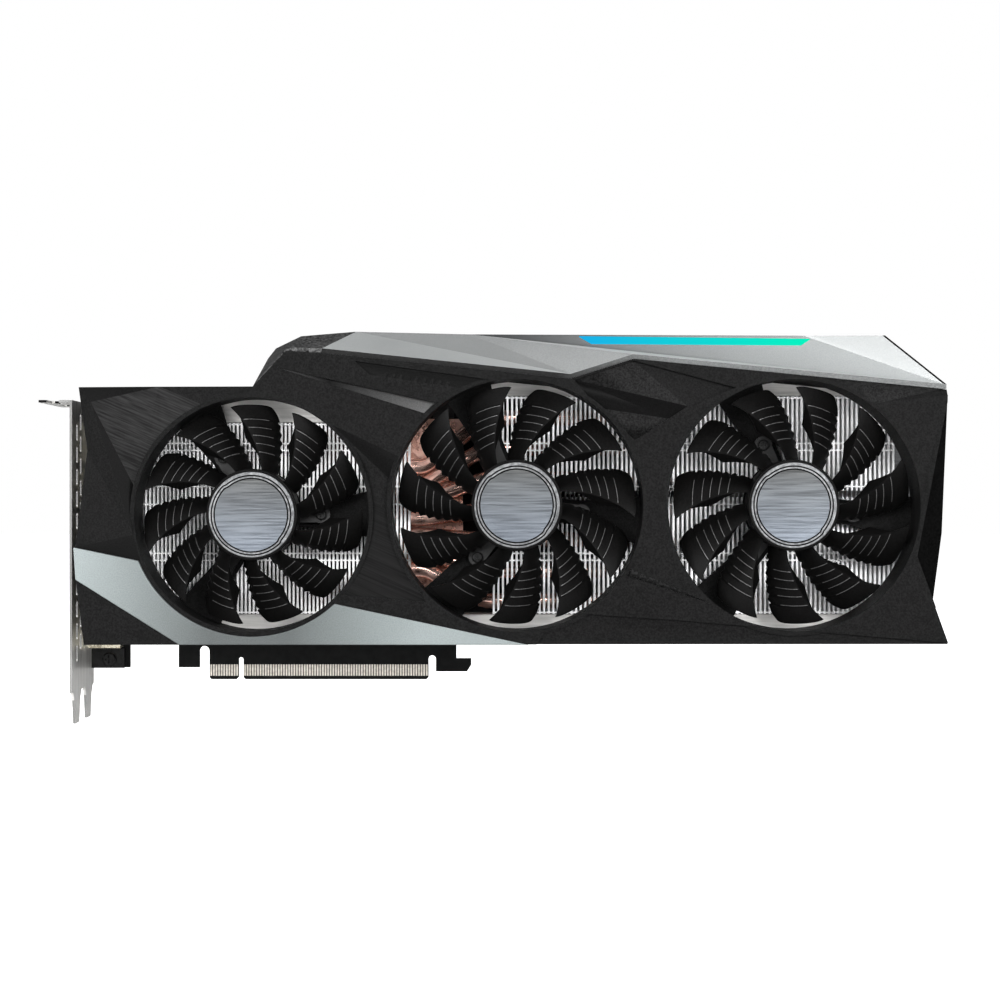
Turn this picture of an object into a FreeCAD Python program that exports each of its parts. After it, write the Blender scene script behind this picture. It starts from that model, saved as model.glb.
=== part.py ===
import FreeCAD, Part
import math
import os

# A triple-fan graphics card, in millimetres.
# Frame: X runs along the card from the input/output bracket to the tail, Z runs up from the
# slot, and Y runs back from the fans to the backplate. The origin is the middle of the key notch
# in the edge connector, on the mid-plane of the circuit board, at the bottom edge of the contacts.

Vec = FreeCAD.Vector
parts = {}

# overall sizes
card_length = 320.0  # outer face of the bracket to the tail
front_depth = 48.0  # board mid-plane to the front plane of the shroud
crest_height = 132.5  # bottom of the contacts to the highest line of the top panel
bracket_face_x = -58.3  # outer face of the bracket
tail_x = bracket_face_x + card_length
front_y = -front_depth

# circuit board and edge connector
board_t = 1.6
board_front = -board_t / 2
board_back = board_t / 2
board_top_z = 106.5
board_right_x = 172.0
board_main_z = 13.5  # bottom edge of the board away from the connector
contact_pitch = 1.0
key_half = 0.95
contacts_left = 11
contacts_right = 71
finger_margin = 0.65
short_tab_left = -key_half - 0.55 - (contacts_left - 1) * contact_pitch - finger_margin
long_tab_right = key_half + 0.55 + (contacts_right - 1) * contact_pitch + finger_margin
key_notch_top = 8.5
outer_notch_width = 3.6
outer_notch_top = 12.8
hook_notch_width = 2.9
hook_notch_top = 9.2
hook_end_x = 88.6
hook_neck_x = 82.9
contact_w = 0.7
contact_low = 1.3
contact_high = 5.7
contact_t = 0.05

# bracket
sheet_t = 0.9
slot_pitch = 20.32
bracket_w = 18.42 + slot_pitch
bracket_back_y = 2.6
bracket_top_z = 105.7
bracket_low_z = -1.9
prong_low_z = -13.8
prong_w = 10.2
flange_reach = 11.4
notch_r = 2.21
notch_from_face = 6.2
ear_w = 13.5

# fans
small_blade_r = 40.1
large_blade_r = 43.3
tip_gap = 2.3
blade_count = 11
blade_sweep_deg = 22.0
fan_centres = {
    "left": (9.9, 63.7, small_blade_r, 330.0, 1),
    "middle": (0.5 * (9.9 + tail_x - 55.7) - 2.1, 67.1, large_blade_r, 337.0, -1),
    "right": (tail_x - 55.7, 67.1, large_blade_r, 337.0, 1),
}
first_blade_deg = {"left": 32.5, "middle": 18.8, "right": 12.7}
hub_r = 16.6
hub_wall = 1.2
badge_r = 15.6
badge_t = 0.9
magnet_t = 1.8
shaft_r = 1.5
running_gap = 0.03
bearing_wall = 1.0
tube_wall = 1.0
duct_wall = 1.6
duct_length = 18.0
arm_t = 2.0
base_t = 2.0
boss_at_r = 24.0
boss_r = 3.3
screw_r = 1.0
screw_head_r = 2.0
screw_head_t = 1.0

# cooler
pipe_r = 3.0
pipe_gap = 0.05
pipe_count = 7
bundle_pitch = 6.5
bundle_mid_z = 62.0
spread_pitch = 11.5
spread_mid_z = 65.45
bundle_y = -9.2
spread_y = -15.5
fin_t = 0.35
fin_lip = 0.8
fin_lip_t = 0.3
left_fin_pitch = 1.48
right_fin_pitch = 1.70
fin_front_y = front_y + 20.0
fin_low_z = 26.7
left_fin_high_z = 97.6
right_fin_high_z = 107.5
left_stack = (-38.0, 68.5)
middle_stack_x0 = 97.0
crimp_w = 0.6
slit_mid_z = 71.3
slit_h = 2.4

# shroud
plate_t = 4.0
wall_t = 2.0
wall_depth = 26.0
tail_wall = 8.0
fit_gap = 0.1

# backplate
plate_gap = 2.1
backplate_t = 1.5
backplate_y0 = board_back + plate_gap
backplate_y1 = backplate_y0 + backplate_t


def box(x0, x1, y0, y1, z0, z1):
    return Part.makeBox(x1 - x0, y1 - y0, z1 - z0, Vec(x0, y0, z0))


def rod_y(x, z, r, y0, y1):
    return Part.makeCylinder(r, y1 - y0, Vec(x, y0, z), Vec(0, 1, 0))


def rod_z(x, y, r, z0, z1):
    return Part.makeCylinder(r, z1 - z0, Vec(x, y, z0), Vec(0, 0, 1))


def rod_x(y, z, r, x0, x1):
    return Part.makeCylinder(r, x1 - x0, Vec(x0, y, z), Vec(1, 0, 0))


def ring_y(x, z, r_out, r_in, y0, y1):
    return rod_y(x, z, r_out, y0, y1).cut(rod_y(x, z, r_in, y0 - 1, y1 + 1))


def prism_xz(points, y0, y1):
    corners = [Vec(x, y0, z) for x, z in points]
    face = Part.Face(Part.makePolygon(corners + corners[:1]))
    return face.extrude(Vec(0, y1 - y0, 0))


def prism_yz(points, x0, x1):
    corners = [Vec(x0, y, z) for y, z in points]
    face = Part.Face(Part.makePolygon(corners + corners[:1]))
    return face.extrude(Vec(x1 - x0, 0, 0))


def prism_xy(points, z0, z1):
    corners = [Vec(x, y, z0) for x, y in points]
    face = Part.Face(Part.makePolygon(corners + corners[:1]))
    return face.extrude(Vec(0, 0, z1 - z0))


def closed_solid(faces):
    shape = Part.Solid(Part.makeShell([Part.Face(Part.makePolygon(f + f[:1])) for f in faces]))
    if shape.Volume < 0:
        shape.reverse()
    return shape


def slab(top, triangles, under):
    """Solid between a surface of triangles and the matching points that under() gives."""
    low = [under(p) for p in top]
    edges = {}
    for tri in triangles:
        for a, b in zip(tri, tri[1:] + tri[:1]):
            edges[frozenset((a, b))] = edges.get(frozenset((a, b)), 0) + 1
    faces = [[top[i] for i in tri] for tri in triangles]
    faces += [[low[i] for i in tri] for tri in triangles]
    for edge, uses in edges.items():
        if uses == 1:
            a, b = sorted(edge)
            faces.append([top[a], top[b], low[b], low[a]])
    return closed_solid(faces)


def polar(cx, cz, r, deg):
    """Point at radius r, deg clockwise from the top as seen from the fans' side."""
    a = math.radians(deg)
    return cx + r * math.sin(a), cz + r * math.cos(a)


def fuse_all(shapes):
    return shapes[0].multiFuse(shapes[1:]) if len(shapes) > 1 else shapes[0]


def add(name, shape):
    """Keep a node: one solid, or a group of separate solids."""
    solids = shape.Solids if hasattr(shape, "Solids") else [s for p in shape for s in p.Solids]
    assert solids and all(s.isValid() for s in solids), name
    parts[name] = Part.makeCompound(solids) if len(solids) > 1 else solids[0]
    return parts[name]


def screw(x, z, y_seat, toward, shank_r, shank_len, head_r, head_t):
    """Pan-head cross screw on an axis along Y. toward is -1 if the head faces the fans."""
    y_head = y_seat + toward * head_t
    y_tip = y_seat - toward * shank_len
    head = rod_y(x, z, head_r, min(y_seat, y_head), max(y_seat, y_head))
    head = head.makeChamfer(head_t * 0.35, [e for e in head.Edges if abs(e.BoundBox.YMin - y_head) < 1e-6
                                            and abs(e.BoundBox.YMax - y_head) < 1e-6])
    shank = rod_y(x, z, shank_r, min(y_seat, y_tip), max(y_seat, y_tip))
    depth = head_t * 0.6
    y_slot = sorted((y_head + toward, y_head - toward * depth))
    cross = box(x - head_r * 0.6, x + head_r * 0.6, *y_slot, z - head_r * 0.13, z + head_r * 0.13)
    cross = cross.fuse(box(x - head_r * 0.13, x + head_r * 0.13, *y_slot, z - head_r * 0.6, z + head_r * 0.6))
    return head.fuse(shank).removeSplitter().cut(cross)


# circuit board
lower_screw = (-50.4, 7.8)
upper_screw = (-50.4, 102.2)
left_tab_right_x = -42.8
middle_tab = (-24.0, -16.0)
tab_low_z = 4.6
plate_screws = [(-34.0, 100.5), (60.0, 100.5), (166.0, 88.0), (-34.0, 20.0), (60.0, 20.0), (165.0, 20.0)]
gpu_mid = (48.0, 62.0)
cooler_screw_half = 29.0
cooler_screws = [(gpu_mid[0] + i * cooler_screw_half, gpu_mid[1] + j * cooler_screw_half)
                 for i in (-1, 1) for j in (-1, 1)]
board_screw_r = 1.3
board_hole_r = 1.6
tail_legs = [(tail_x - 9.5, 36.0), (tail_x - 9.5, 100.0)]
leg_half = 3.0


def board_profile():
    """Outline of the board from the bracket's end, anticlockwise along the bottom edge."""
    notch_r_out = outer_notch_width / 2
    x_left = bracket_face_x + sheet_t + fit_gap
    outline = [
        (x_left, tab_low_z), (left_tab_right_x, tab_low_z), (left_tab_right_x, board_main_z),
        (middle_tab[0], board_main_z), (middle_tab[0], tab_low_z), (middle_tab[1], tab_low_z),
        (middle_tab[1], outer_notch_top - notch_r_out), (short_tab_left, outer_notch_top - notch_r_out),
        (short_tab_left, 0.8), (short_tab_left + 0.8, 0.0), (-key_half - 0.8, 0.0), (-key_half, 0.8),
        (-key_half, key_notch_top - key_half), (key_half, key_notch_top - key_half), (key_half, 0.8),
        (key_half + 0.8, 0.0), (long_tab_right - 0.8, 0.0), (long_tab_right, 0.8),
        (long_tab_right, hook_notch_top - hook_notch_width / 2),
        (long_tab_right + hook_notch_width, hook_notch_top - hook_notch_width / 2),
        (long_tab_right + hook_notch_width, 3.0), (hook_end_x - 1.6, 3.0), (hook_end_x, 5.6),
        (hook_end_x, 8.0), (hook_neck_x, 8.0), (hook_neck_x, board_main_z),
        (board_right_x, board_main_z), (board_right_x, board_top_z), (x_left, board_top_z),
    ]
    return outline


def make_board():
    y0, y1 = board_front, board_back
    board = prism_xz(board_profile(), y0, y1)
    tops = [
        (0.5 * (middle_tab[1] + short_tab_left), outer_notch_top, 0.5 * (short_tab_left - middle_tab[1])),
        (0.0, key_notch_top, key_half),
        (long_tab_right + hook_notch_width / 2, hook_notch_top, hook_notch_width / 2),
    ]
    for x, top, r in tops:
        board = board.cut(rod_y(x, top - r, r, y0 - 1, y1 + 1))
    for x, z in [lower_screw, upper_screw] + plate_screws + cooler_screws:
        board = board.cut(rod_y(x, z, board_hole_r, y0 - 1, y1 + 1))
    add("circuit_board", board)


def make_contacts():
    shapes = []
    for first, count in ((-key_half - 0.55 - (contacts_left - 1) * contact_pitch, contacts_left),
                         (key_half + 0.55, contacts_right)):
        for i in range(count):
            x = first + i * contact_pitch
            for y0, y1 in ((board_front - contact_t, board_front), (board_back, board_back + contact_t)):
                shapes.append(box(x - contact_w / 2, x + contact_w / 2, y0, y1, contact_low, contact_high))
    add("edge_contacts", shapes)


# components on the board
package_t = 1.3
die_t = 0.8
memory_t = 1.1
can_to_pipe = 0.4
die_front = board_front - package_t - die_t


def memory_spots():
    """Centres of the memory chips around the processor."""
    gx, gz = gpu_mid
    spots = [(gx + dx, gz + dz) for dx in (-31, 31) for dz in (-15, 0, 15)]
    return spots + [(gx + dx, gz + dz) for dx in (-15, 0) for dz in (-29, 29)]


def make_board_parts():
    gx, gz = gpu_mid
    add("gpu_package", box(gx - 20, gx + 20, board_front - package_t, board_front, gz - 20, gz + 20))
    add("gpu_die", box(gx - 12.5, gx + 12.5, die_front, board_front - package_t, gz - 12.5, gz + 12.5))
    add("memory_chips", [box(x - 6, x + 6, board_front - memory_t, board_front, z - 6.5, z + 6.5)
                         for x, z in memory_spots()])
    chokes, stages, cans = [], [], []
    for x in (-12.0, 112.0):
        for i in range(7):
            z = 32.0 + i * 9.2
            chokes.append(box(x - 3.8, x + 3.8, board_front - 4.0, board_front, z - 3.6, z + 3.6))
            stages.append(box(x + 6.0, x + 11.0, board_front - 1.0, board_front, z - 3.0, z + 3.0))
    for x in (-27.0, 127.0):
        for i in range(6):
            z = 34.0 + i * 10.0
            cans.append(rod_y(x, z, 3.0, bundle_y + pipe_r + can_to_pipe, board_front))
    add("power_chokes", chokes)
    add("power_stages", stages)
    add("capacitors", cans)
    headers = [box(x - 4, x + 4, board_front - 4.5, board_front, 100.6, 106.1) for x in (78.0, 90.0)]
    add("fan_headers", headers)


# bracket and display sockets
socket_floor = board_front
displayport = (16.3, 5.6, 13.0)  # width along Z, height off the board, depth behind the bracket
hdmi = (15.0, 6.0, 12.0)
socket_shell = 0.5
socket_pitch = 17.6
socket_first_z = 20.6
dp_rows = [0, 1, 2]
hdmi_rows = [3, 4]
socket_lift = 0.8


def socket_z(row):
    return socket_first_z + row * socket_pitch


def socket_shape(kind, row):
    """Folded metal shell, open at the bracket's side."""
    w, h, depth = kind
    z = socket_z(row)
    x0 = bracket_face_x
    x1 = x0 + depth
    y1 = socket_floor - socket_lift
    y0 = y1 - h
    bevel = 1.6 if kind is displayport else 2.2

    def section(grow):
        return [(y0 - grow, z - w / 2 - grow), (y1 + grow, z - w / 2 - grow),
                (y1 + grow, z + w / 2 - bevel), (y1 - bevel, z + w / 2 + grow), (y0 - grow, z + w / 2 + grow)]

    shell = prism_yz(section(0.0), x0, x1)
    return shell.cut(prism_yz(section(-socket_shell), x0 - 1, x1 - 1.5))


def make_sockets():
    add("displayport_sockets", [socket_shape(displayport, r) for r in dp_rows])
    add("hdmi_sockets", [socket_shape(hdmi, r) for r in hdmi_rows])
    tongues = []
    for kind, rows in ((displayport, dp_rows), (hdmi, hdmi_rows)):
        w, h, depth = kind
        x1 = bracket_face_x + depth - 1.5
        ym = socket_floor - socket_lift - h * 0.42
        for r in rows:
            z = socket_z(r)
            z0, z1 = z - w / 2 + 2.4, z + w / 2 - 2.4
            tongues.append(box(bracket_face_x + 1.5, x1, ym - 0.6, ym + 0.6, z0, z1))
    add("socket_tongues", tongues)


vent_w = 3.0
vent_h = 6.2
vent_pitch = 8.2
vent_cols = (-27.6, -21.2)


def make_bracket():
    y1 = bracket_back_y
    y0 = y1 - bracket_w
    x0, x1 = bracket_face_x, bracket_face_x + sheet_t
    plate = box(x0, x1, y0, y1, bracket_low_z, bracket_top_z)
    for row, kind in [(r, displayport) for r in dp_rows] + [(r, hdmi) for r in hdmi_rows]:
        w, h, _ = kind
        z = socket_z(row)
        ys = socket_floor - socket_lift
        plate = plate.cut(box(x0 - 1, x1 + 1, ys - h - fit_gap, ys + fit_gap,
                              z - w / 2 - fit_gap, z + w / 2 + fit_gap))
    vents = []
    for c, y in enumerate(vent_cols):
        for i in range(11):
            z = 12.0 + c * vent_pitch / 2 + i * vent_pitch
            vents.append(box(x0 - 1, x1 + 1, y - vent_w / 2, y + vent_w / 2,
                             z - (vent_h - vent_w) / 2, z + (vent_h - vent_w) / 2))
            vents.append(rod_x(y, z - (vent_h - vent_w) / 2, vent_w / 2, x0 - 1, x1 + 1))
            vents.append(rod_x(y, z + (vent_h - vent_w) / 2, vent_w / 2, x0 - 1, x1 + 1))
    plate = plate.cut(vents)
    pieces = [plate]
    for slot in (0, 1):
        yc = y1 - 18.42 / 2 - slot * slot_pitch
        half, tip = prong_w / 2, prong_w / 2 - 1.6
        outline = [(yc - half - 2.2, bracket_low_z + 2), (yc - half - 2.2, bracket_low_z), (yc - half, -5.0),
                   (yc - tip, prong_low_z), (yc + tip, prong_low_z), (yc + half, -5.0),
                   (yc + half + 2.2, bracket_low_z), (yc + half + 2.2, bracket_low_z + 2)]
        pieces.append(prism_yz(outline, x0, x1))
    flange = box(x0 - flange_reach, x1, y0, y1, bracket_top_z - sheet_t, bracket_top_z)
    for y_mid in notch_mids():
        flange = flange.cut(rod_z(x0 - notch_from_face, y_mid, notch_r, bracket_top_z - 2, bracket_top_z + 1))
        flange = flange.cut(box(x0 - notch_from_face - notch_r, x0 - notch_from_face + notch_r,
                                y_mid - 6.5, y_mid, bracket_top_z - 2, bracket_top_z + 1))
    pieces.append(flange)
    for x_s, z_s in (lower_screw, upper_screw):
        ear_top = min(z_s + 4.0, bracket_top_z)
        ear = box(x0, x0 + ear_w, board_front - sheet_t, board_front, z_s - 3.4, ear_top)
        pieces.append(ear.cut(rod_y(x_s, z_s, board_hole_r, -5, 5)))
    add("io_bracket", fuse_all(pieces).removeSplitter())
    screws = [screw(x, z, board_front - sheet_t, -1, board_screw_r, 4.2, 2.65, 1.5)
              for x, z in (lower_screw, upper_screw)]
    add("bracket_screws", screws)


def notch_mids():
    """Y of the two screw notches in the bracket's flange."""
    near = bracket_back_y - bracket_w
    return (near + 6.5, near + 6.5 + slot_pitch)


# power sockets and BIOS switch
power_pitch = 4.2
power_wall = 1.0
power_mouth_z = board_top_z + 9.0
power_h = 16.5
power_xs = (138.5, 160.0)
power_w = 4 * power_pitch + 2 * power_wall
power_d = 2 * power_pitch + 2 * power_wall
power_y1 = board_front
power_y0 = power_y1 - power_d


def make_power_sockets():
    """Two eight-way sockets standing on the board's top edge, mouths up."""
    bodies, pins = [], []
    for xc in power_xs:
        x0, x1 = xc - power_w / 2, xc + power_w / 2
        body = box(x0, x1, power_y0, power_y1, power_mouth_z - power_h, power_mouth_z)
        cavity = box(xc - power_w / 2 + power_wall, xc + power_w / 2 - power_wall, power_y0 + power_wall,
                     power_y1 - power_wall, power_mouth_z - power_h + 3.0, power_mouth_z + 1)
        body = body.cut(cavity)
        latch = box(xc - 2.5, xc + 2.5, power_y0 - 1.6, power_y0, power_mouth_z - 7.0, power_mouth_z - 2.5)
        bodies.append(body.fuse(latch).removeSplitter())
        for i in range(4):
            for j in range(2):
                x = xc + (i - 1.5) * power_pitch
                y = power_y1 - power_d / 2 + (j - 0.5) * power_pitch
                pins.append(box(x - 0.57, x + 0.57, y - 0.57, y + 0.57,
                                power_mouth_z - power_h + 3.0, power_mouth_z - 5.5))
    add("power_sockets", bodies)
    add("power_pins", pins)


switch_x = -30.0
switch_travel = 2.0


def make_switch():
    z0 = board_top_z - 3.4
    y0 = board_front - 3.2
    body = box(switch_x - 4.2, switch_x + 4.2, y0, board_front, z0, board_top_z)
    x0, x1 = switch_x - 2.4, switch_x + 2.4
    body = body.cut(box(x0, x1, y0 + 0.9, board_front - 0.9, z0 + 1.2, board_top_z + 1))
    add("bios_switch_body", body)
    lever_x = switch_x - switch_travel / 2
    gap = 0.15
    lever = box(lever_x - 1.1, lever_x + 1.1, y0 + 0.9 + gap, board_front - 0.9 - gap,
                z0 + 1.2 + gap, board_top_z + 1.6)
    add("bios_switch_lever", lever)


# cooler
right_stack_end = tail_x - 14.0
stack_split = 0.5 * (fan_centres["middle"][0] + fan_centres["right"][0])


def bundle_z(i):
    return bundle_mid_z + (i - (pipe_count - 1) / 2) * bundle_pitch


def spread_z(i):
    return spread_mid_z + (i - (pipe_count - 1) / 2) * spread_pitch


def pipe_path(points, radius):
    """Straight runs joined by tangent arcs."""
    edges = []
    start = points[0]
    for before, corner, after in zip(points, points[1:], points[2:]):
        u = (before - corner).normalize()
        w = (after - corner).normalize()
        half = math.acos(max(-1.0, min(1.0, u.dot(w)))) / 2
        reach = radius / math.tan(half)
        a, b = corner + u * reach, corner + w * reach
        bisector = (u + w).normalize()
        mid = corner + bisector * (radius / math.sin(half) - radius)
        edges.append(Part.makeLine(start, a))
        edges.append(Part.Arc(a, mid, b).toShape())
        start = b
    edges.append(Part.makeLine(start, points[-1]))
    return Part.Wire(edges)


def make_pipes():
    x_bend0, x_bend1 = left_stack[1] - 1.0, middle_stack_x0 + 1.0
    run = 8.0
    pipes = []
    for i in range(pipe_count):
        zb, zs = bundle_z(i), spread_z(i)
        points = [Vec(left_stack[0] + 6, bundle_y, zb), Vec(x_bend0 + run / 2, bundle_y, zb),
                  Vec(x_bend1 - run / 2, spread_y, zs), Vec(right_stack_end - 4, spread_y, zs)]
        path = pipe_path(points, 9.0)
        circle = Part.Wire(Part.makeCircle(pipe_r, points[0], Vec(1, 0, 0)))
        pipe = path.makePipeShell([circle], True, False)
        pipes.append(Part.Solid(pipe) if not pipe.Solids else pipe.Solids[0])
    add("heat_pipes", pipes)


plate_half = (37.5, 38.0)


def make_cold_plate():
    """Base plate over the processor and memory, grooved for the pipes, on four posts to the board."""
    gx, gz = gpu_mid
    y1 = die_front
    y0 = bundle_y + pipe_r - 0.6
    plate = box(gx - plate_half[0], gx + plate_half[0], y0, y1, gz - plate_half[1], gz + plate_half[1])
    posts = [rod_y(x, z, 2.8, y1 - 0.5, board_front) for x, z in cooler_screws]
    plate = plate.multiFuse(posts).removeSplitter()
    for i in range(pipe_count):
        plate = plate.cut(rod_x(bundle_y, bundle_z(i), pipe_r + pipe_gap, gx - 50, gx + 50))
    for x, z in cooler_screws:
        plate = plate.cut(rod_y(x, z, board_screw_r + 0.05, y1 - 3.0, board_front + 1))
    add("cold_plate", plate)
    add("thermal_pads", [box(x - 5.5, x + 5.5, y1, board_front - memory_t, z - 6.0, z + 6.0)
                         for x, z in memory_spots()])


def fin_stack(x0, x1, pitch, z0, z1, y_back, holes, slit):
    """Stamped fins with folded front lips, locked to each other by rows of crimps."""
    count = int((x1 - x0) / pitch)
    yf = fin_front_y
    profile = [(0, yf), (fin_lip, yf), (fin_lip, yf + fin_lip_t), (fin_t, yf + fin_lip_t),
               (fin_t, y_back), (0, y_back)]
    fin = prism_xy(profile, z0, z1)
    for y, z in holes:
        fin = fin.cut(rod_x(y, z, pipe_r + pipe_gap, -1, 2))
    if slit:
        fin = fin.cut(box(-1, 2, yf - 1, yf + 9.0, slit_mid_z - slit_h / 2, slit_mid_z + slit_h / 2))
    fins = []
    for i in range(count):
        copy = fin.copy()
        copy.translate(Vec(x0 + i * pitch, 0, 0))
        fins.append(copy)
    end = x0 + (count - 1) * pitch + fin_t
    rows = []
    for z in (z0 + 0.6, 46.6, 49.2, 67.4, 74.0, 87.4, 90.0, z1 - 0.6):
        rows.append(box(x0, end, yf, yf + fin_lip_t, z - crimp_w / 2, z + crimp_w / 2))
    return rows[0].multiFuse(rows[1:] + fins)


def make_fins():
    spread = [(spread_y, spread_z(i)) for i in range(pipe_count)]
    left_back = bundle_y - pipe_r - 0.1
    add("fin_stack_left", fin_stack(left_stack[0], left_stack[1], left_fin_pitch, fin_low_z, left_fin_high_z,
                                    left_back, [], False))
    middle = fin_stack(middle_stack_x0, stack_split - 1, right_fin_pitch, fin_low_z,
                       right_fin_high_z, -6.5, spread, True)
    room = box(power_xs[0] - power_w / 2 - 1, power_xs[1] + power_w / 2 + 1, power_y0 - 2.2, 0,
               power_mouth_z - power_h - 1, 200)
    add("fin_stack_middle", middle.cut(room))
    right = fin_stack(stack_split + 1, right_stack_end, right_fin_pitch, fin_low_z,
                      right_fin_high_z, -2.6, spread, True)
    edge = box(stack_split - 1, max(board_right_x, stack_split) + 1, -6.5, 0, 0, 200)
    add("fin_stack_right", right.cut([room, edge]))


rail_t = 1.0
rail_lip = 6.0
rail_gap = 0.2
left_lip_high_z = 107.0
rail_low_z = 19.3


def rail(x0, x1, z_fin, z_lip, y_deep):
    """Angle strip: a flange over the fin ends and a lip in the fins' front plane."""
    up = 1 if z_lip > z_fin else -1
    z_near, z_far = z_fin + up * rail_gap, z_fin + up * (rail_gap + rail_t)
    lip = box(x0, x1, fin_front_y, fin_front_y + rail_t, min(z_near, z_lip), max(z_near, z_lip))
    flange = box(x0, x1, fin_front_y, y_deep, min(z_near, z_far), max(z_near, z_far))
    return lip.fuse(flange).removeSplitter()


def make_rails():
    """Rails end short of the shroud's walls, which slope down towards the tail."""
    limit = inside_shroud(wall_t + 0.4, fin_front_y - 1, 0)
    upper_end = fan_centres["right"][0] + 25.0
    rails = [
        rail(left_stack[0], right_stack_end, fin_low_z, rail_low_z, -13.0),
        rail(left_stack[0], left_stack[1], left_fin_high_z, left_lip_high_z, -14.0),
        rail(left_stack[1] + 1.0, upper_end, right_fin_high_z, right_fin_high_z + rail_lip, -16.0),
    ]
    add("cooler_rails", [r.common(limit) for r in rails])


# backplate
window_x = (tail_x - 78.0, tail_x - 14.0)
window_z = (30.0, 104.0)


backplate_grooves = [((-20.0, 40.0), (22.0, 96.0)), ((-12.0, 40.0), (30.0, 96.0)),
                     ((72.0, 27.0), (84.0, 44.0)), ((72.0, 78.0), (100.0, 118.0))]


def make_backplate():
    x0 = bracket_face_x + 6.0
    x1 = tail_x - 2.0
    notch = (power_xs[0] - power_w / 2 - 2.0, power_xs[1] + power_w / 2 + 2.0)
    outline = [(x0, 15.0), (x1, 15.0), (x1, 108.0), (x1 - 14, 127.0), (notch[1] + 6, 127.0),
               (notch[1], 110.0),
               (notch[0], 110.0), (notch[0] - 6, 127.0), (24.0, 127.0), (11.0, 110.0), (x0, 110.0)]
    plate = prism_xz(outline, backplate_y0, backplate_y1)
    rim = [e for e in plate.Edges if abs(e.BoundBox.YMin - backplate_y1) < 1e-6
           and abs(e.BoundBox.YMax - backplate_y1) < 1e-6]
    plate = plate.makeChamfer(0.6, rim)
    for low, high in backplate_grooves:
        plate = plate.cut(prism_xz([low, (low[0] + 1.4, low[1]), (high[0] + 1.4, high[1]), high],
                                   backplate_y1 - 0.4, backplate_y1 + 1))
    lean = 14.0
    plate = plate.cut(prism_xz([(window_x[0], window_z[0]), (window_x[1] - lean, window_z[0]),
                                (window_x[1], window_z[1]), (window_x[0] + lean, window_z[1])],
                               backplate_y0 - 1, backplate_y1 + 1))
    for i in range(5):
        x = 104.0 + i * 9.0
        plate = plate.cut(prism_xz([(x, 36.0), (x + 3.2, 36.0), (x + 15.2, 80.0), (x + 12.0, 80.0)],
                                   backplate_y0 - 1, backplate_y1 + 1))
    bosses = [rod_y(x, z, 3.0, board_back, backplate_y0 + 0.2) for x, z in plate_screws]
    plate = plate.multiFuse(bosses).removeSplitter()
    plate = plate.cut([rod_y(x, z, board_screw_r, board_back - 1, backplate_y1 + 1)
                       for x, z in plate_screws + tail_legs])
    plate = plate.cut([rod_y(x, z, 3.6, backplate_y0 - 1, backplate_y1 + 1) for x, z in cooler_screws])
    add("backplate", plate)
    add("backplate_screws", [screw(x, z, backplate_y1, 1, board_screw_r - 0.05, 4.6, 2.4, 0.6)
                             for x, z in plate_screws + tail_legs])
    springs, bolts = [], []
    for x, z in cooler_screws:
        bolt = screw(x, z, board_back + 2.6, 1, board_screw_r, 8.0, 2.6, 0.9)
        bolts.append(bolt)
        springs.append(ring_y(x, z, 2.5, 1.9, board_back, board_back + 2.6))
    add("cooler_screws", bolts)
    add("cooler_springs", springs)


# shroud
left_x = bracket_face_x + 5.6
step_x = 10.5
peak_x = fan_centres["middle"][0] + 42.1
shroud_outline = [
    (left_x, 109.8), (step_x, 110.1), (22.4, 122.9), (35.3, 122.1), (peak_x - 22.7, 112.8), (peak_x, 120.0),
    (tail_x - 0.3, 109.0), (tail_x - 0.3, 108.0), (tail_x - 1.3, 56.9), (tail_x - 4.7, 29.9), (tail_x, 16.9),
    (left_x + 2.1, 16.7), (left_x - 0.8, 40.1), (left_x - 1.6, 51.8), (left_x + 2.8, 87.0),
]


def opening_r(name):
    return fan_centres[name][2] + tip_gap


def relief(points, polygons):
    """Cutter that planes facets into the front: points are (x, z, depth below the front plane)."""
    top = [Vec(x, front_y - 2.0, z) for x, z, d in points]
    depth = [d for x, z, d in points]
    triangles = [(p[0], p[i], p[i + 1]) for p in polygons for i in range(1, len(p) - 1)]
    lows = {(round(t.x, 6), round(t.z, 6)): front_y + d for t, d in zip(top, depth)}
    return slab(top, triangles, lambda p: Vec(p.x, lows[(round(p.x, 6), round(p.z, 6))], p.z))


def left_reliefs():
    """Facets around the left fan: a sunk brushed triangle, a knife-edged ridge and the cheek beside it."""
    p = [(left_x, 109.8, 1.4), (-23.5, 110.0, 0.6), (-48.1, 104.4, 0.0), (-7.8, 103.4, 0.5),
         (-32.1, 72.2, 3.2),
         (-32.7, 56.4, 0.0), (left_x + 2.8, 87.0, 2.8), (left_x - 1.6, 51.8, 2.6), (-30.1, 46.9, 0.3),
         (step_x, 110.1, 2.0), (6.0, 105.6, 0.4)]
    return relief(p, [(0, 1, 2), (2, 1, 4), (1, 3, 4), (2, 4, 5), (0, 2, 6), (2, 5, 6), (6, 5, 7), (5, 8, 7),
                      (1, 9, 10), (1, 10, 3)])


def middle_reliefs():
    """Facets between the left and middle fans."""
    mx = fan_centres["middle"][0]
    waist = relief([(39.0, 96.2, 0.0), (mx - 42.7, 84.7, 0.0), (mx - 45.5, 76.0, 2.0), (50.6, 80.0, 2.0),
                    (mx - 33.3, 32.2, 0.6), (42.0, 34.6, 0.6)], [(0, 1, 2, 3), (3, 2, 4, 5)])
    return waist


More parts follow.
